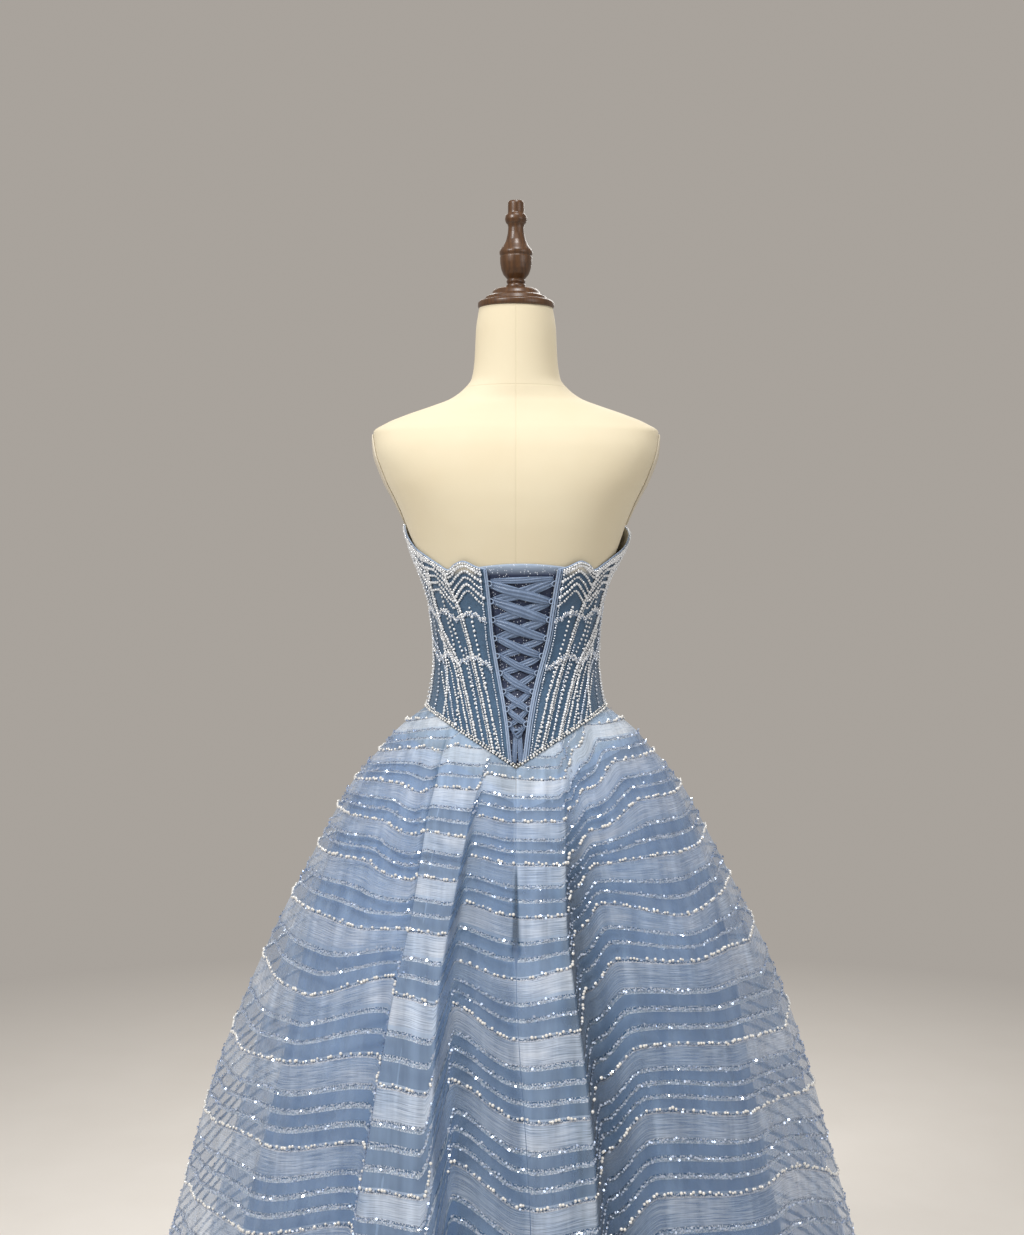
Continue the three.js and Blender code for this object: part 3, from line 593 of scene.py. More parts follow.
def cotton():
    """Calico cover of the form, with its sewn seams as fine grooves."""
    m = Mat("cotton_cover")
    o, x, y, z = m.place()
    w = weave(m, m.plus(x, m.mul(y, 0.7)), z, 900)
    cloud = m.noise(o, 11.0, 3.0)
    fine = m.noise(o, 620.0, 2.0)
    back = m.math("LESS_THAN", y, 0.0)

    def groove(coord, at):
        d = m.math("DIVIDE", m.minus(coord, at), SEAM_GROOVE)
        return m.math("EXPONENT", m.mul(m.mul(d, d), -1.0))
    seam = m.math("MAXIMUM", m.mul(groove(x, 0.0), back), groove(z, 1.443))
    seam = m.math("MAXIMUM", seam, groove(y, 0.004))
    colour = m.mix(cloud, lin("ddd0b2"), lin("e4dbc1"))
    colour = m.mix(m.mul(seam, 0.3), colour, lin("cbbd9d"))
    height = m.minus(m.math("MULTIPLY_ADD", fine, 0.35, w), m.mul(seam, 3.0))
    return m.done(m.principled(Base_Color=colour, Roughness=0.86, Normal=m.bump(height, 0.28, 0.0004),
                               Sheen_Weight=0.2, Sheen_Roughness=0.5, Specular_IOR_Level=0.25))


def walnut():
    """Dark turned wood, its grain running up the axis."""
    m = Mat("turned_wood")
    x, y, z = m.place()[1:]
    warp = m.noise(m.vec(m.mul(x, 60.0), m.mul(y, 60.0), m.mul(z, 7.0)), 1.0, 3.0)
    grain = m.math("SINE", m.math("MULTIPLY_ADD", warp, 30.0, m.mul(x, 900.0)))
    pores = m.noise(m.vec(m.mul(x, 1500.0), m.mul(y, 1500.0), m.mul(z, 90.0)), 1.0, 2.0)
    fac = m.math("MULTIPLY_ADD", grain, 0.14, m.math("MULTIPLY_ADD", pores, 0.6, 0.15))
    colour = m.mix(fac, lin("301b0b"), lin("68431f"))
    return m.done(m.principled(Base_Color=colour, Roughness=m.math("MULTIPLY_ADD", pores, 0.25, 0.28),
                               Normal=m.bump(pores, 0.1, 0.0002), Coat_Weight=0.3, Coat_Roughness=0.25))


def plain(name, a, b, rough, metal, scale, stretch=1.0):
    """One finish between two colours, with a fine grain."""
    m = Mat(name)
    x, y, z = m.place()[1:]
    n = m.noise(m.vec(x, y, m.mul(z, stretch)), scale, 3.0)
    return m.done(m.principled(Base_Color=m.mix(n, a, b), Metallic=metal,
                               Roughness=m.math("MULTIPLY_ADD", n, 0.2, rough - 0.1),
                               Normal=m.bump(n, 0.15, 0.0003)))


ORGANZA = organza()
UNDER = satin("underskirt_satin", lin("81a3cb"), lin("5b7eab"), 0.5, 0.6, 0.25)
BODICE = bodice_cloth()
MODEST = glitter_cloth()
RIBBON = satin("ribbon_satin", lin("90a6c6"), lin("394e6e"), 0.25, 3.0, 0.35, 2400)
PIPING = satin("piping_satin", lin("aebfd6"), lin("7d95b8"), 0.35, 3.0, 0.3, 2400)
PEARL = gem("pearl", lin("fbfaf6"), lin("d9d8d4"), 0.14, 0.0, 0.9)
IVORY_PEARL = gem("ivory_pearl", lin("f9fafb"), lin("dfe4ea"), 0.14, 0.1, 1.0)
SEED = gem("seed_bead", lin("eef3fa"), lin("9fb0c8"), 0.16, 0.35, 0.6)
SEQUIN = gem("sequin", lin("eaf1fc"), lin("9ab6e2"), 0.16, 0.6, 0.3, 500.0)
COTTON = cotton()
GREY_EDGE = plain("plate_cloth", lin("c9c0ae"), lin("d8d0bf"), 0.8, 0.0, 260.0)
WOOD = walnut()
STEEL = plain("stand_steel", lin("8b8e92"), lin("a6a9ad"), 0.38, 0.85, 300.0, 0.08)


# Dress form
a = np.linspace(-np.pi, np.pi, 180, endpoint=False)
levels = np.concatenate([np.linspace(880, 1380, 76), np.linspace(1383, 1440, 28),
                         np.linspace(1444, 1548, 26)])
A, Z = np.meshgrid(a, levels)
skin = on_radius(slimmed, A, Z)
co = np.concatenate([skin.reshape(-1, 3), [[0, 0, levels[0]], [0, 0, levels[-1]]]])
faces = [quads(len(a), len(levels) - 1, True), end_caps(len(a), len(levels))]
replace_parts(build("form_cover", co, faces, COTTON), "form_body")


def arm_plate(side, name):
    """Oval plate over the end of an arm, its rim rounded down."""
    a = np.linspace(0, 2 * np.pi, 64, endpoint=False)
    A, K = np.meshgrid(a, [0.02, 0.2, 0.4, 0.6, 0.8, 0.93, 0.99, 1.0])
    rise = np.array([2.6, 2.6, 2.6, 2.6, 2.55, 2.4, 2.1, 1.6])[:, None] + 0 * A
    z, phi = 1322 + 60 * K * np.sin(A), side * (90 + 11 * K * np.cos(A)) * DEG
    outer = lifted(body_radius, phi, z, rise)
    inner = lifted(body_radius, phi, z, 0.25 + 0 * z)
    if side < 0:
        outer, inner = outer[:, ::-1], inner[:, ::-1]
    co, f = wall(inner[::-1], outer[::-1], True)
    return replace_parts(build(name, co, f, GREY_EDGE), name.replace("plate_cover", "plate"))


arm_plate(-1, "arm_plate_cover_left")
arm_plate(1, "arm_plate_cover_right")


def lathe(name, profile, node, steps=96):
    """Turned piece from (radius, height) corners, each corner softened."""
    p = np.array(profile, float)
    pts = [p[0]]
    for q0, q, q1 in zip(p[:-2], p[1:-1], p[2:]):
        la, lb = np.linalg.norm(q - q0), np.linalg.norm(q1 - q)
        r = min(1.1, la * 0.32, lb * 0.32)
        s, e = q + (q0 - q) / la * r, q + (q1 - q) / lb * r
        pts += [s, 0.25 * s + 0.5 * q + 0.25 * e, e]
    pts = np.array(pts + [p[-1]])
    a = np.linspace(0, 2 * np.pi, steps, endpoint=False)
    r, z = pts[1:-1, 0], pts[1:-1, 1]
    rings = np.stack([np.outer(r, np.cos(a)), np.outer(r, np.sin(a)), np.repeat(z[:, None], steps, 1)], -1)
    co = np.concatenate([rings.reshape(-1, 3), [[0, 0, pts[0, 1]], [0, 0, pts[-1, 1]]]])
    faces = [quads(steps, len(r) - 1, True), end_caps(steps, len(r))]
    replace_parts(build(name, co, faces, WOOD), node)


CAP_Z = 1548.2
FINIAL_Z = CAP_Z + 26.7
cap = [(0, 0), (49, 0), (50.5, 2), (50.5, 7), (48, 9.5), (41.5, 10), (40, 15), (33, 17.8), (31, 22),
       (28, 25), (18, 26.5), (0, 26.5)]
fin = [(0, 0), (13, 0), (12.6, 4), (11, 5.5), (12.5, 7.5), (12.5, 10), (11.2, 11.5), (13.4, 14), (16.8, 18),
       (19.6, 25), (21, 33), (21.2, 41), (20.4, 42.5), (21.9, 45), (21.9, 48.5), (20, 51.5), (16, 57),
       (13, 63.5), (11, 72), (10.3, 80), (11, 84), (13.2, 86), (14.7, 90.5), (13.8, 95.5), (11, 98.5),
       (10.7, 101), (10.8, 112), (9.4, 115), (0, 115)]
lathe("neck_cap_wood", [(r, CAP_Z + h) for r, h in cap], "neck_cap")
lathe("finial_wood", [(r, FINIAL_Z + h) for r, h in fin], "finial")
for node in ("stand_base", "stand_pole"):
    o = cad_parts[node]
    o.data.materials.clear()
    o.data.materials.append(STEEL)


# Bodice panels
def panel_grid(edge_a, edge_b, nu, nv, low=waist_z, high=neck_z):
    """phi and z of a panel between two edges, each an angle by height."""
    i, j = np.meshgrid(np.linspace(0, 1, nu + 1), np.linspace(0, 1, nv + 1))
    phi, z = 0 * i + (edge_a(1100.0) + edge_b(1100.0)) / 2, 0 * i + 1100.0
    for _ in range(25):
        phi = phi + 0.7 * (edge_a(z) + (edge_b(z) - edge_a(z)) * i - phi)
        z = low(phi) + (high(phi) - low(phi)) * j
    return phi, z


def fixed(deg, mm):
    """Panel edge at one angle, moved by mm."""
    return lambda z: deg * DEG + mm / 120 + 0 * z


def edge_line(table, s, mm):
    """Panel edge along a seam of side s, moved by mm."""
    return lambda z: turn(z) + s * (angle_at(smooth(table, z), z) + mm / 120)


def ivory_at(phi, z):
    """1 on the peaks of the neckline at the back, which are lined in ivory."""
    d = np.abs(wrap(phi - turn(1215))) / DEG
    peak = np.exp(-((d - 41) / 7.5) ** 4)
    return peak * ease((z - (neck_z(phi) - 15)) / 5)


def bodice_panel(name, left, right, columns):
    """One panel of the bodice, slightly quilted between its seams."""
    phi, z = panel_grid(left, right, columns, 70)
    t = np.linspace(0, 1, columns + 1)
    quilt = 0.5 * np.sin(z / 3.1 + phi * 9) * np.minimum(1, 4 * t * (1 - t))
    inner, outer = bodice_point(phi, z, 0.4), bodice_point(phi, z, CLOTH - 0.35 + 0.3 * quilt)
    co, f = wall(inner, outer)
    uv = np.stack([phi * 0.115, z * 0.001], -1).reshape(-1, 2)
    ivory = ivory_at(phi, z).ravel()
    o = build("bodice_shell_" + name, co, f, BODICE, np.concatenate([uv, uv]),
              {"ivory": np.concatenate([np.ones_like(ivory), ivory])})
    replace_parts(o, "bodice_" + name)


# Panel, its left and right edges, and its columns of faces
PANELS = [("back_left", edge_line(SEAM_ONE, -1, -SEAM), edge_line(OPENING, -1, SEAM), 22),
          ("back_right", edge_line(OPENING, 1, SEAM), edge_line(SEAM_ONE, 1, -SEAM), 22),
          ("side_back_left", fixed(-92, SEAM), edge_line(SEAM_ONE, -1, SEAM), 34),
          ("side_back_right", edge_line(SEAM_ONE, 1, SEAM), fixed(92, -SEAM), 34),
          ("side_front_left", fixed(-146, SEAM), fixed(-92, -SEAM), 38),
          ("side_front_right", fixed(92, SEAM), fixed(146, -SEAM), 38),
          ("front", fixed(146, SEAM), fixed(214, -SEAM), 46)]
for panel in PANELS:
    bodice_panel(*panel)

# Modesty panel, its top edge rolled over
phi, z = panel_grid(edge_line(MODESTY_EDGE, -1, 0), edge_line(MODESTY_EDGE, 1, 0), 44, 90,
                    lambda p: waist_z(p) + 4,
                    lambda p: 1210.5 - 5 * (np.abs(wrap(p - turn(1215))) / (34 * DEG)) ** 2)
roll = 0.5 * np.exp(-((z - 1206) / 3.2) ** 2) * ease((0.42 - np.abs(wrap(phi - turn(1215)))) * 6)
sag = 0.25 * np.sin(z / 9 + 3 * np.sin(phi * 11))
inner = lifted(body_radius, phi, z, CLEAR)
outer = lifted(body_radius, phi, z, CLEAR + MODESTY - 0.1 + roll + 0.3 * sag)
co, f = wall(inner, outer)
uv = np.stack([phi * 0.1, z * 0.001], -1).reshape(-1, 2)
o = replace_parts(build("modesty_satin", co, f, MODEST, np.concatenate([uv, uv])),
                "modesty_panel")

# Lacing: satin ribbons crossing from loop to loop
BED = CLEAR + MODESTY + 1.1
ALONG, ACROSS = 26, 14
TOP_WIDTH, NARROWING = 15.0, 1.1


def loop_x(s, z):
    """How far to the side the loops of side s sit."""
    return turn(z) * 105 + s * (smooth(OPENING, z) - 2.2)


def ribbon(p, q, lift, width, bulge=1.6, waves=1.0, end=0.45, seed=0):
    """Flat ribbon between two (x, z) points over the body, pinched at its ends."""
    t, w = np.meshgrid(np.linspace(0, 1, ALONG + 1), np.linspace(-0.5, 0.5, ACROSS + 1))
    wide = width * (end + (1 - end) * np.sin(np.pi * np.clip(t, 0.02, 0.98)) ** 0.45)
    dx, dz = q[0] - p[0], q[1] - p[1]
    ln = np.hypot(dx, dz)
    droop = -1.4 * np.sin(np.pi * t) * waves
    x = p[0] + dx * t - dz / ln * w * wide
    z = p[1] + dz * t + dx / ln * w * wide + droop
    crease = 0.62 * np.sin(w * 17 + 2.2 * np.sin(t * 5 + seed)) * waves
    up = lift + bulge * np.sin(np.pi * t) ** 0.7 * (1 - 0.8 * (2 * w) ** 2) + crease
    phi = angle_at(x, z)
    a, b = lifted(body_radius, phi, z, BED + up), lifted(body_radius, phi, z, BED + up + 0.45)
    if dx < 0:
        a, b = a[:, ::-1], b[:, ::-1]
    co, f = wall(a, b)
    uv = np.stack([t * ln * 0.001 + seed, w * wide * 0.001], -1).reshape(-1, 2)
    return co, f, np.concatenate([uv, uv])


def join(parts):
    """One set of points, lists of faces and UVs from several."""
    starts = np.cumsum([0] + [len(p[0]) for p in parts[:-1]])
    faces = [np.concatenate([p[k] + n for p, n in zip(parts, starts)]) for k in range(1, len(parts[0]) - 1)]
    return np.concatenate([p[0] for p in parts]), faces, np.concatenate([p[-1] for p in parts])


parts = [ribbon((loop_x(-1, 1188), 1189), (loop_x(1, 1188), 1192), 0.0, 8.5, 1.0, 0.6, seed=50)]
for k, (high, low) in enumerate(zip(LOOP_Z, LOOP_Z[1:])):
    w = TOP_WIDTH - NARROWING * k
    j1, j2, j3, j4 = rng.uniform(-1.4, 1.4, 4)
    parts.append(ribbon((loop_x(-1, low), low + j1), (loop_x(1, high), high + j2), 0.0,
                        w * (1 + j3 * 0.08), 1.2, seed=k))
    parts.append(ribbon((loop_x(-1, high), high - j2), (loop_x(1, low), low - j1), 1.3,
                        w * (1 + j4 * 0.08), 1.7, seed=20 + k))
KX, KZ = 2.0, 994.0
parts.append(ribbon((loop_x(-1, 1004), 1003), (KX, KZ), 0.4, 6, 0.8, seed=61))
parts.append(ribbon((KX, KZ), (loop_x(1, 1004), 1003), 0.9, 6, 0.8, seed=62))
for s in (-1, 1):
    parts.append(ribbon((KX + s * 2.5, KZ - 2), (KX + s * 4.4, 957), 0.6 + s * 0.5, 6.5, 0.9, 0.7,
                        seed=64 + s, end=0.8))
co, (f,), uv = join(parts)
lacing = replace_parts(build("lacing_ribbon", co, f, RIBBON, uv), "lacing")


def tube(path, radius, sides=8):
    """Round cord along a path of points."""
    d = np.gradient(path, axis=0)
    d /= np.linalg.norm(d, axis=1, keepdims=True)
    ref = np.array([0.0, 0.0, 1.0]) if abs(d[0, 2]) < 0.8 else np.array([0.0, -1.0, 0.0])
    u = np.cross(d, ref)
    u /= np.linalg.norm(u, axis=1, keepdims=True)
    v = np.cross(u, d)
    a = np.linspace(0, 2 * np.pi, sides, endpoint=False)
    r = np.broadcast_to(radius, (len(path),))[:, None, None]
    ring = u[:, None] * np.cos(a)[None, :, None] + v[:, None] * np.sin(a)[None, :, None]
    co = path[:, None, :] + r * ring
    n = len(path)
    ends = np.stack([path[0], path[-1]])
    s = np.concatenate([[0], np.cumsum(np.linalg.norm(np.diff(path, axis=0), axis=1))]) * 0.001
    uv = np.stack([np.repeat(s[:, None], sides, 1), np.repeat((a * 0.001)[None], n, 0)], -1).reshape(-1, 2)
    return (np.concatenate([co.reshape(-1, 3), ends]), quads(sides, n - 1, True), end_caps(sides, n),
            np.concatenate([uv, [[s[0], 0], [s[-1], 0]]]))


def build_tubes(name, tubes, mat):
    co, faces, uv = join(tubes)
    return build(name, co, faces, mat, uv)


# Knot of the lacing
t = np.linspace(0, 2 * np.pi * 2.2, 90)
kp = lifted(body_radius, angle_at(np.array([KX]), np.array([KZ])), np.array([KZ]), np.array([BED + 3.0]))[0]
knot_path = kp + np.stack([5.2 * np.cos(t), 1.1 * np.sin(t * 1.5), 3.8 * np.sin(t) + 0.8 * np.cos(t * 2)], -1)
tail_path = kp + np.stack([3.4 * np.sin(t * 0.45) + 1, -1.6 + 0 * t, 6 - t * 0.9], -1)
knot = build_tubes("lacing_knot", [tube(knot_path, 1.7, 10), tube(tail_path, 1.5, 10)],
                   RIBBON)

# Piping and loops along both edges of the opening
for s, side in ((-1, "left"), (1, "right")):
    zz = np.linspace(957, 1206, 130)
    tubes = []
    for off, rad in (((0.8, 1.15), (3.4, 1.3), (6.2, 0.8)) if s > 0 else ((0.8, 1.1), (3.2, 1.1))):
        phi = turn(zz) + s * angle_at(smooth(OPENING, zz) + off, zz)
        zc = np.clip(zz, waist_z(phi) + 3, neck_z(phi) - 1)
        tubes.append(tube(bodice_point(phi, zc, CLOTH + rad * 0.8), rad, 8))
    for z0 in LOOP_Z:
        phi0 = float(turn(z0) + s * angle_at(smooth(OPENING, z0) - 0.6, z0))
        t = np.linspace(0, 2 * np.pi, 22)
        up = 3.2 * np.sin(t)
        ph = phi0 - s * (3.6 * np.cos(t) + 0.2) / 100
        lift = CLOTH + 0.4 + 1.6 * (0.5 + 0.5 * np.cos(t))
        tubes.append(tube(bodice_point(ph, z0 + up, lift), 0.75, 6))
    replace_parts(build_tubes("opening_piping_" + side, tubes, PIPING), "loop_tape_" + side)

# Beadwork of the bodice: strings of (phi, z) points
BALL = ball(6, 4)


def side_lines():
    """Bead lines of one side: distance from the centre line by height, step, radius and top height."""
    out = [(lambda z: smooth(OPENING, z) + 9.5, 3.3, 1.25, 1201)]
    for seam, top in ((SEAM_ONE, 1200), (SEAM_TWO, 1206)):
        out.append((lambda z, t=seam: smooth(t, z), 3.9, 1.8, top))
        out.append((lambda z, t=seam: smooth(t, z) + 3.4, 2.6, 1.0, top))
    for seam, off, step, rad, top in ((SEAM_ONE, -7, 3.6, 1.35, 1090), (SEAM_ONE, 9, 3.6, 1.35, 1105),
                                      (SEAM_TWO, 7.5, 3.4, 1.5, 1125), (SEAM_TWO, 14, 3.8, 1.35, 1085),
                                      (SEAM_TWO, 21, 3.4, 1.55, 1150), (SEAM_TWO, 27, 3.8, 1.35, 1070)):
        out.append((lambda z, t=seam, o=off: smooth(t, z) + o * (1.3 - 0.3 * (z - 950) / 100),
                    step, rad, top))
    out.append((lambda z: smooth(OPENING, z) * 0.46 + 5 + smooth(SEAM_ONE, z) * 0.54, 6.2, 1.6, 1158))
    out.append((lambda z: (smooth(SEAM_ONE, z) + smooth(SEAM_TWO, z)) / 2 + 1, 6.0, 1.6, 1154))
    return out


# Bead lines that fan out over the sides: degrees at the top and at the waist, and top height;
# every other one has its beads set close
FAN = [(63, 41, 1175), (72, 52, 1222), (80, 63, 1190), (90, 75, 1236), (99, 88, 1196), (110, 101, 1250),
       (120, 115, 1200), (131, 130, 1270), (141, 144, 1205), (152, 156, 1275), (166, 169, 1210)]
SPARSE, CLOSE = (5.8, 1.55), (3.9, 1.75)
BEADS_FROM = 940
strings = []
for s in (-1, 1):
    for out_at, step, rad, top_z in side_lines():
        z = np.linspace(BEADS_FROM, top_z, 160)
        phi = turn(z) + s * angle_at(out_at(z), z)
        keep = (z > waist_z(phi) + 2) & (z < neck_z(phi) - 4)
        strings.append((phi[keep], z[keep], step, rad))
    for k, (top_deg, low_deg, top_z) in enumerate(FAN):
        z = np.linspace(BEADS_FROM, top_z, 160)
        phi = s * (low_deg + (top_deg - low_deg) * ease((z - 960) / 235)) * DEG + turn(z)
        keep = (z > waist_z(phi) + 3) & (z < neck_z(phi) - 4)
        strings.append((phi[keep], z[keep], *(CLOSE if k % 2 else SPARSE)))
# Chevron rows below the neckline and scalloped lace rows lower down; peaks lie at panel centres
BREAKS = np.array([-180, -149, -118, -92, -73, -53, 0, 53, 73, 92, 118, 149, 180.0])
phi_all = np.linspace(-180, 180, 1500) * DEG


def chevron(phi):
    """1 at the middle of each panel, 0 at its seams."""
    d = wrap(phi - turn(1180)) / DEG
    k = np.clip(np.searchsorted(BREAKS, d), 1, len(BREAKS) - 1)
    lo, hi = BREAKS[k - 1], BREAKS[k]
    lo, hi = np.where(k == 6, -53, lo), np.where(k == 6, -26, hi)
    lo, hi = np.where(k == 7, 26, lo), np.where(k == 7, 53, hi)
    return 1 - np.abs((d - (lo + hi) / 2) / ((hi - lo) / 2))


def open_gap(z):
    return turn(z) - angle_at(smooth(OPENING, z) + 7, z), turn(z) + angle_at(smooth(OPENING, z) + 7, z)


rows = [(5, 3.8, 1.6, 4), (11, 4.2, 1.9, 8), (19, 3.8, 1.6, 11), (27.5, 4.2, 1.9, 13), (36.5, 3.6, 1.5, 14)]
lace_rows = []
for drop, step, rad, lift in rows:
    z = neck_z(phi_all) - drop - lift + lift * np.clip(chevron(phi_all), 0, 1)
    strings.append((phi_all, z, step, rad))
for level, amp in ((1141, 8), (1084, 8)):
    saw = np.abs(((phi_all / DEG * 0.16) % 1) - 0.5) * 2
    level_z = level + 20 * np.sin(np.abs(phi_all) / 2) ** 2
    c = np.clip(chevron(phi_all), 0, 1)
    z = level_z - 9 + (amp + 4) * c + 3.4 * np.abs(np.sin(c * 7)) + 1.0 * saw
    lace_rows.append((phi_all, z))
for off in (0.0, 3.6):
    strings.append((phi_all, neck_z(phi_all) - 1.6 - off * 0.9, 3.5, 1.6 if off else 1.45))
neck_line = (phi_all, neck_z(phi_all) - 0.2)


def lay(phi, z, off):
    """Points of a bead line on the bodice, without those that fall in the laced opening."""
    a_, b_ = open_gap(z)
    d = wrap(phi)
    keep = (d < a_) | (d > b_)
    keep &= z > waist_z(phi) + 1
    p = bodice_point(phi, z, off)
    return p, keep


def runs(keep, least=1):
    """Unbroken runs of indices where keep holds, each at least so long."""
    parts = np.split(np.arange(len(keep)), np.where(np.diff(keep.astype(int)) != 0)[0] + 1)
    return [r for r in parts if len(r) >= least and keep[r[0]]]


pearls, seeds = [], []
for k, (phi, z, step, rad) in enumerate(strings):
    if len(phi) < 3:
        continue
    p, keep = lay(phi, z, CLOTH + rad * 0.75)
    for run in runs(keep, 3):
        at = resample(p[run], step)
        at = at + rng.normal(0, 0.22, at.shape)
        size = rad * rng.uniform(0.9, 1.22, len(at))
        (seeds if (k % 3 == 0 and rad < 1.6) else pearls).append((at, size))
for phi, z in lace_rows:
    for off in (-2.6, 0.0, 2.4):
        p, keep = lay(phi, z + off, CLOTH + 0.9)
        for run in runs(keep, 4):
            at = resample(p[run], 3.4 if off else 2.7)
            (seeds if off < 0 else pearls).append((at + rng.normal(0, 0.5, at.shape),
                                                   rng.uniform(0.9, 1.45, len(at))))


def bead_piece(name, groups, mat, node=None):
    at = np.concatenate([g[0] for g in groups])
    co, f = scatter(BALL, at, np.concatenate([g[1] for g in groups]))
    o = build(name, co, f, mat)
    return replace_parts(o, node) if node else o


bead_piece("bodice_pearls", pearls, IVORY_PEARL)
bead_piece("bodice_seed_beads", seeds, SEED)
phi, z = neck_line
keep = (wrap(phi) < open_gap(z)[0] + 0.06) | (wrap(phi) > open_gap(z)[1] - 0.06)
tubes = [tube(bodice_point(phi[run], z[run], CLOTH * 0.5)[::2], 1.15, 7) for run in runs(keep)]
for phi, z in lace_rows:
    p, keep = lay(phi, z, CLOTH + 0.3)
    for run in runs(keep):
        for up in (-1.2, 1.3):
            q = bodice_point(phi[run], z[run] + up, CLOTH + 0.3)
            tubes.append(tube(q[::3], 0.9, 5))
build_tubes("neck_piping", tubes, PIPING)

# Waist trim: two rows of beads on the seam
groups = []
for up, step, rad in ((1.6, 4.4, 1.6), (4.8, 3.8, 1.1)):
    phi = np.linspace(-np.pi, np.pi, 1400)
    p = bodice_point(phi, waist_z(phi) + up, CLOTH + rad * 0.8 + 0.4)
    at = resample(p, step)
    groups.append((at + rng.normal(0, 0.35, at.shape), rad * rng.uniform(0.85, 1.15, len(at))))
bead_piece("waist_beads", groups, PEARL, "waist_trim")


# Skirt
def skirt_grid(breaks, counts, rows):
    """phi and z of a skirt panel; breaks(z) gives its edge angles in degrees."""
    v = 1 - (1 - np.linspace(0, 1, rows + 1)) ** 1.12
    seg = np.concatenate([np.full(c, k) for k, c in enumerate(counts)] + [[len(counts) - 1]])
    t = np.concatenate([np.arange(c) / c for c in counts] + [[1.0]])
    V, T = np.broadcast_arrays(v[:, None], t[None])
    phi, z = np.zeros(V.shape), np.full(V.shape, 500.0)
    for _ in range(20):
        b = np.stack([np.broadcast_to(e, z.shape) for e in breaks(z)])
        lo = np.take_along_axis(b, np.broadcast_to(seg, z.shape)[None], 0)[0]
        hi = np.take_along_axis(b, np.broadcast_to(seg + 1, z.shape)[None], 0)[0]
        phi = (lo + (hi - lo) * T) * DEG
        z = HEM_Z + (waist_z(phi) - HEM_Z) * V
    return phi, z


def seam_deg(z):
    return (SEAM + 3.2 * np.exp(-((z - 757) / 10) ** 2)) / (250 * DEG)


def dens_at(phi, z):
    """How much more cloth lies here: pleats, hem and seam allowances."""
    a = wrap(phi) / DEG
    lo, li = smooth(PLEAT_L_OUT, z), smooth(PLEAT_L_IN, z)
    ro, cb = smooth(PLEAT_R_OUT, z), smooth(CENTRE_BACK, z)

    def box(x0, x1, soft=0.5):
        return ease((a - x0) / soft + 0.5) * ease((x1 - a) / soft + 0.5)
    d = 1.9 * box(lo, li) + 1.3 * box(cb, ro) + 0.8 * box(ro, ro + 1.6) + 0.6 * box(lo - 1.2, lo)
    d += 0.7 * box(lo + 3.2, lo + 3.6, 0.2) + 0.7 * box(ro - 4.4, ro - 4.0, 0.2)
    d += 0.6 * box(ro - 8.6, ro - 8.3, 0.2)
    d += 0.5 * box(25 + ro * 0.1 - 1, 25 + ro * 0.1 + 1.2) + 0.6 * box(cb - 1.0, cb)
    d += 0.35 * np.sin(a * 0.21 + 1.0) ** 2 * (np.abs(a) > 60)
    d += 1.5 * ease((34 - z) / 6) + 4.0 * ease(1.35 - (waist_z(phi) - z) / 48)
    return d


def shade_at(phi, z):
    """Depth of shadow beside the two laid pleats, about 1 in a valley and more in the slit at the back."""
    a = wrap(phi) / DEG
    li, cb = smooth(PLEAT_L_IN, z), smooth(CENTRE_BACK, z)
    ro = smooth(PLEAT_R_OUT, z)
    d = 1.1 * ease((a - li) / 0.6) * ease((cb - 0.3 - a) / 0.4) * (0.45 + 0.55 * ease(1 - (a - li) / 8))
    d = d + ease((a - ro) / 0.8) * (1.45 * ease(1 - (a - ro) / 15) + 0.45 * ease(1 - (a - ro) / 42))
    d = d + 0.35 * ease((a - ro * 0.55) / 3) * ease((ro - a) / 1.5)
    lo = smooth(PLEAT_L_OUT, z)
    d = d + 0.5 * ease((lo - a) / 0.6) * ease(1 - (lo - a) / 7)
    half = 0.3 + 0.8 * np.clip((848 - z) / 92, 0, 1)
    slit = ease((z - 750) / 5) * ease((850 - z) / 18) * np.exp(-((a - cb) / half) ** 4)
    drop = waist_z(phi) - z
    flap = 0.8 * ease((lo - a) / 0.3) * ease(1 - (lo - a) / 2.4)
    flap = flap + 0.6 * ease((a - li) / 0.3) * ease(1 - (a - li) / 2.6)
    return d * ease(drop / 170) + 1.9 * slit + flap * ease(drop / 22) * ease((300 - drop) / 200)


def skirt_panel(name, breaks, counts, rows):
    """One panel of the striped skirt, its top edge against the bodice."""
    phi, z = skirt_grid(breaks, counts, rows)
    p = lifted(creased, phi, z, -0.2)
    p[-1] = bodice_point(phi[-1], waist_z(phi[-1]), CLOTH) - np.array([0, 0, SEAM])
    r = np.hypot(p[..., 0], p[..., 1])
    uv = np.stack([phi * r * 0.001, band(phi, z)], -1)
    co, faces = p.reshape(-1, 3), quads(sum(counts), rows)
    o = build("skirt_veil_" + name, co, faces, ORGANZA, uv,
              {"dens": dens_at(phi, z), "shade": shade_at(phi, z)})
    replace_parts(o, "skirt_" + name)
    return o, co, faces, p


def back_left(z):
    lo, li = smooth(PLEAT_L_OUT, z), smooth(PLEAT_L_IN, z)
    return [-90 + 0 * z, -62 + 0 * z, np.minimum(-40, lo - 6), lo - 1.6, lo, li, li + 1.8,
            smooth(CENTRE_BACK, z) - seam_deg(z)]


def back_right(z):
    ro, cb = smooth(PLEAT_R_OUT, z), smooth(CENTRE_BACK, z)
    return [cb + seam_deg(z), cb + 0.9, ro, ro + 2.2, 25 + ro * 0.1, 41 + 0 * z, 66 + 0 * z, 90 + 0 * z]


def front(z):
    return [90 + 0 * z, 270 + 0 * z]


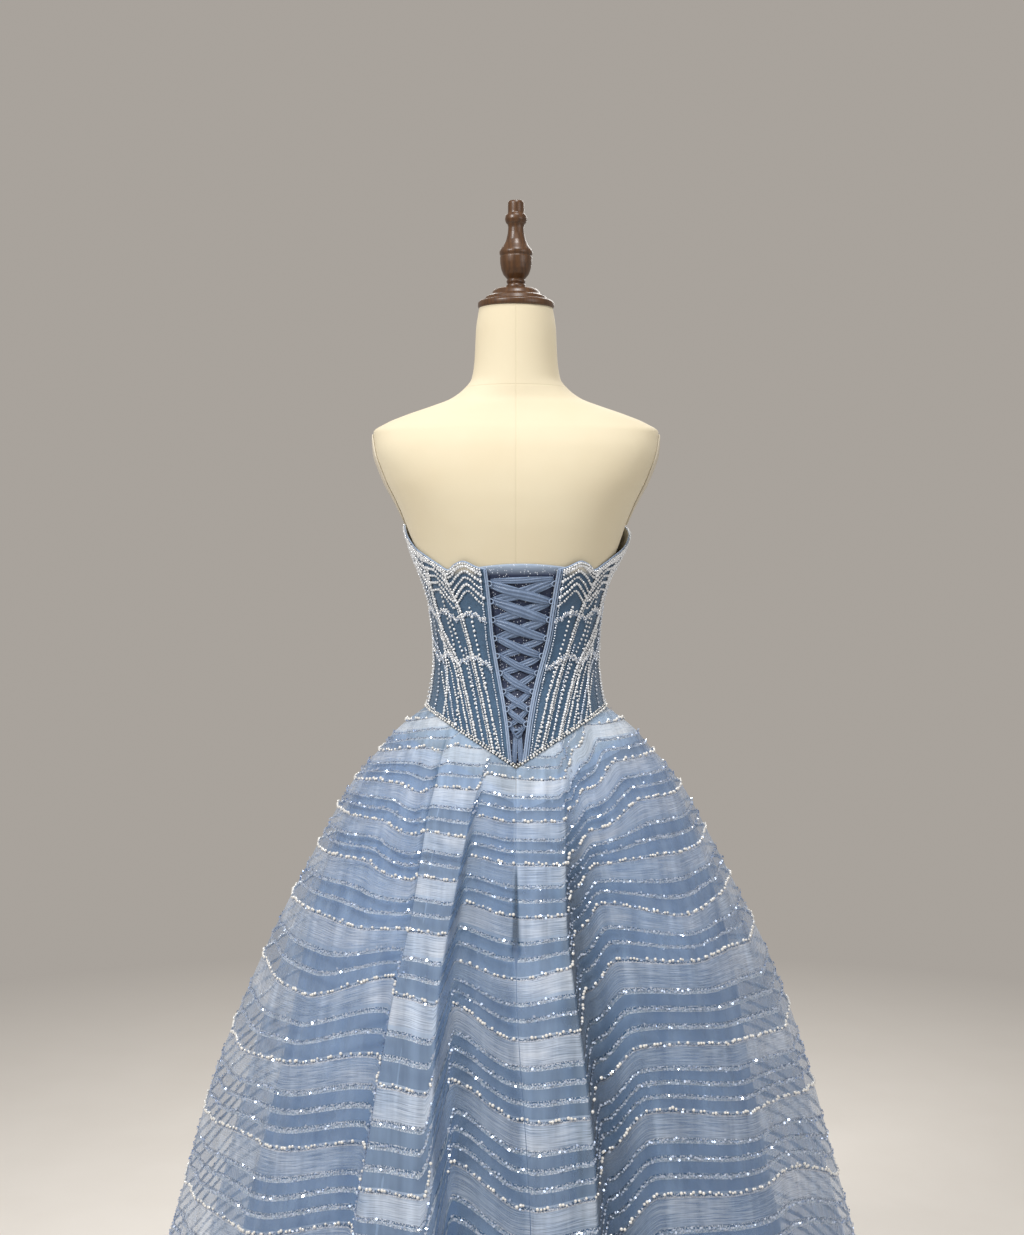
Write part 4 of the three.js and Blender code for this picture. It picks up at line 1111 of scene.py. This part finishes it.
# Panel, its edges and folds, columns between them, rows, and the degrees that its beads span
VEILS = [("back_left", back_left, [36, 32, 14, 10, 18, 10, 26], 150, -90, 1.6),
         ("back_right", back_right, [6, 22, 10, 16, 26, 34, 32], 150, 1.8, 90),
         ("front", front, [230], 120, 90, 270)]
veils = [skirt_panel(*row[:4]) for row in VEILS]


def along_line(n, share, lo, hi, steps=2600):
    """Points of a line of the stripes: n-th repeat, share of the way down it, between two angles."""
    phi = np.linspace(lo, hi, steps) * DEG
    lines = line_heights(phi)
    z = lines[:, n] + (lines[:, n + 1] - lines[:, n]) * share
    return phi, z


def in_sight(phi, z):
    """Where a line of beads shows: clear of the waist, the hem and the tuck under the left pleat."""
    a, li = wrap(phi) / DEG, smooth(PLEAT_L_IN, z)
    return (z < waist_z(phi) - 5) & (z > HEM_Z + 4) & ~((a > li + 0.1) & (a < li + 2.0) & (z < 900))


def shown(span, phi, z):
    """Where a line of beads shows on this panel, clear of the seam at the centre back."""
    a, cb, keep = wrap(phi) / DEG, smooth(CENTRE_BACK, z), in_sight(phi, z)
    if span == "back_left":
        keep &= a < cb - 0.35
    if span == "back_right":
        keep &= a > cb + 0.35
    return keep


def on_skirt(phi, z, off):
    return lifted(creased, phi, z, off)


def tilted(at, normal, size):
    """Small six-sided facets lying on the cloth, each at its own tilt."""
    n = normal + rng.normal(0, 0.55, normal.shape)
    n /= np.linalg.norm(n, axis=1, keepdims=True)
    u = np.cross(n, rng.normal(0, 1, n.shape))
    u /= np.linalg.norm(u, axis=1, keepdims=True)
    w = np.cross(n, u)
    s = size[:, None]
    ring = [at + s * (np.cos(k * np.pi / 3) * u + np.sin(k * np.pi / 3) * w) for k in range(6)]
    co = np.stack(ring, 1).reshape(-1, 3)
    f = np.arange(len(at) * 6).reshape(-1, 6)
    return co, f


def clusters(total):
    """Distances of pearls along a line: small groups with gaps."""
    out, d = [], rng.uniform(0, 8)
    while d < total:
        for _ in range(rng.choice([1, 1, 2, 2, 3, 4])):
            out.append(d)
            d += rng.uniform(3.5, 4.4)
        d += rng.uniform(3.5, 11)
    return np.array([x for x in out if x < total])


for (span, _, _, _, lo, hi), (veil, co_v, f_v, grid_v) in zip(VEILS, veils):
    groups, sq_at, sq_n = [], [], []
    for n in range(len(LINES) - 1):
        phi, z = along_line(n, 0.0, lo, hi)
        for run in runs(shown(span, phi, z), 9):
            at = resample(on_skirt(phi[run], z[run], 1.4), 1, clusters)
            at = at + rng.normal(0, 0.5, at.shape) * [0.6, 0.6, 1.6]
            groups.append((at, rng.uniform(1.5, 2.25, len(at))))
        for share in (SEQUIN_UP if n < FIRST_LOW + 1 else SEQUIN_LOW) + (0.015,):
            phi, z = along_line(n, share, lo, hi, 1400)
            for run in runs(shown(span, phi, z), 9):
                a_, b_ = on_skirt(phi[run], z[run], 0.9), on_skirt(phi[run], z[run], 1.9)
                both = resample(np.concatenate([a_, b_ - a_], 1), 2.9 if share > 0.1 else 6.0)
                c, nn = both[:, :3], both[:, 3:]
                sq_at.append(c + np.stack([0 * c[:, 0], 0 * c[:, 0], rng.normal(0, 1.5, len(c))], 1))
                sq_n.append(nn / np.linalg.norm(nn, axis=1, keepdims=True))
    pearl = bead_piece("skirt_pearls_" + span, groups, PEARL)
    at, nn = np.concatenate(sq_at), np.concatenate(sq_n)
    co, f = tilted(at, nn, rng.uniform(1.0, 1.8, len(at)))
    sequins = build("skirt_sequins_" + span, co, f, SEQUIN, soft=False)

# Underskirt: satin gathered in soft folds, well inside the sheer skirt low down
a, v = np.meshgrid(np.linspace(-np.pi, np.pi, 289), np.linspace(0, 1, 77))
top = waist_z(a) - 30
z = UNDER_HEM_Z + (top - UNDER_HEM_Z) * (1 - (1 - v) ** 1.25)


def under_radius(phi, h):
    """Radius of the underskirt, drawn in low down and gathered in soft folds."""
    drop = np.maximum(0, waist_z(phi) - h)
    slim = plain_skirt(phi, h) * (1 - 0.2 * ease((drop - 20) / 480)) - 5.6
    soft = (np.sin(31 * phi + 1.4 * np.sin(h / 170)) + 0.6 * np.sin(53 * phi + 2.0 + h / 300)
            + 0.8 * np.sin(17 * phi + 0.7))
    blend = ease((drop - 30) / 26)
    low = slim - 2 + soft * 3.4 * ease((drop - 60) / 380)
    return (1 - blend) * (skirt_radius(phi, h) - 5.2) + blend * low


p = lifted(under_radius, a, z, 0.0)
uv = np.stack([a * 0.36, z * 0.001], -1)
faces = quads(288, 76)
o = build("underskirt_satin", p.reshape(-1, 3), faces, UNDER, uv.reshape(-1, 2),
          {"shade": shade_at(a, z)})
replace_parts(o, "underskirt")


# Net between the two: narrower on the left, so that the outer cloth is sheer there
def net():
    """Fine blue net, mostly clear."""
    m = Mat("inner_net")
    u, v = m.uv()
    folds = m.noise(m.vec(m.mul(u, 34.0), m.mul(v, 1.6)), 1.0, 3.0)
    mesh_ = weave(m, u, v, 700)
    alpha = m.math("MULTIPLY_ADD", folds, 0.5, m.math("MULTIPLY_ADD", mesh_, 0.08, 0.06))
    cloth = m.principled(Base_Color=m.mix(folds, lin("91a9c6"), lin("b8cade")), Roughness=0.7,
                         Sheen_Weight=0.3, Normal=m.bump(folds, 0.3, 0.0006))
    clear = m.add("ShaderNodeBsdfTransparent", None, Color=(0.97, 0.98, 1.0, 1)).outputs[0]
    return m.done(m.add("ShaderNodeMixShader", None, i0=alpha, i1=clear, i2=cloth).outputs[0])


def net_radius(phi, h):
    """Radius of the inner net."""
    drop = np.maximum(0, waist_z(phi) - h)
    share = 0.046 - 0.04 * np.sin(phi)
    wave = 2.2 * np.sin(23 * phi + h / 150) + 1.5 * np.sin(41 * phi + 1.0)
    slim = plain_skirt(phi, h) * (1 - share * ease((drop - 60) / 480)) - 12
    blend = ease((drop - 60) / 90)
    return (1 - blend) * (skirt_radius(phi, h) - 4.0) + blend * (slim + wave * ease((drop - 90) / 300))


top = waist_z(a) - 34
z = NET_HEM_Z + (top - NET_HEM_Z) * (1 - (1 - v) ** 1.2)
p = lifted(net_radius, a, z, 0.0)
o = build("skirt_inner_net", p.reshape(-1, 3), faces, net(),
          np.stack([a * 0.4, z * 0.001], -1).reshape(-1, 2))

# Floor, light and camera
BACKDROP, BACK_GLOW = lin("c6bfb7"), 0.7


def studio_floor():
    """Pale floor that runs out into the backdrop's own tone."""
    m = Mat("floor")
    x, y, z = m.place()[1:]
    n = m.noise(m.vec(x, y, z), 6.0, 3.0)
    far = m.math("SQRT", m.math("MULTIPLY_ADD", x, x, m.mul(y, y)))
    far = m.clamp(m.mul(m.minus(far, 1.0), 0.5))
    near = m.principled(Base_Color=m.mix(n, lin("e6e2dc"), lin("eeebe6")), Roughness=0.75)
    glow = m.add("ShaderNodeEmission", None, Color=BACKDROP, Strength=BACK_GLOW).outputs[0]
    return m.done(m.add("ShaderNodeMixShader", None, i0=far, i1=near, i2=glow).outputs[0])


bpy.ops.mesh.primitive_plane_add(size=14, location=(0, 0, 0))
floor = bpy.context.object
floor.name = "floor"
floor.data.materials.append(studio_floor())
world = bpy.data.worlds.new("studio")
bpy.context.scene.world = world
world.use_nodes = True
bg = world.node_tree.nodes["Background"]
bg.inputs[0].default_value = BACKDROP
bg.inputs[1].default_value = BACK_GLOW


def lamp(name, at, to, size, power, tone=(1, 1, 1)):
    """Round area light aimed at a point."""
    d = bpy.data.lights.new(name, "AREA")
    d.shape, d.size, d.energy, d.color = "DISK", size, power, tone
    o = bpy.data.objects.new(name, d)
    bpy.context.scene.collection.objects.link(o)
    v = Vector(to) - Vector(at)
    o.location = at
    o.rotation_euler = v.to_track_quat("-Z", "Y").to_euler()


lamp("key", (-1.9, -1.9, 3.1), (0, 0, 1.0), 0.8, 66, (1, 0.985, 0.97))
lamp("top", (0.2, -1.0, 3.6), (0, -0.2, 0.9), 0.7, 32, (1, 0.99, 0.98))
lamp("fill", (2.4, -2.0, 1.9), (0, 0, 0.8), 1.8, 17, (0.97, 0.98, 1))
lamp("behind", (0.4, 2.6, 2.8), (0, 0, 1.0), 2.0, 40, (1, 0.98, 0.95))

LENS, SENSOR = 49.55, 36
EYE_BACK, EYE_UP, TILT_DOWN = 2.267, 1.215, 1.937
SHIFT_PIXELS, PHOTO_PIXELS = -4, 1235
cam = bpy.data.cameras.new("photo_camera")
cam.sensor_width, cam.sensor_fit = SENSOR, "AUTO"
cam.lens, cam.shift_x = LENS, SHIFT_PIXELS / PHOTO_PIXELS
cam.clip_start, cam.clip_end = 0.1, 30
rig = bpy.data.objects.new("photo_camera", cam)
rig.location = (0, -EYE_BACK, EYE_UP)
rig.rotation_euler = ((90 - TILT_DOWN) * DEG, 0, 0)
bpy.context.scene.collection.objects.link(rig)
bpy.context.scene.camera = rig
bpy.context.scene.view_settings.view_transform = "Standard"
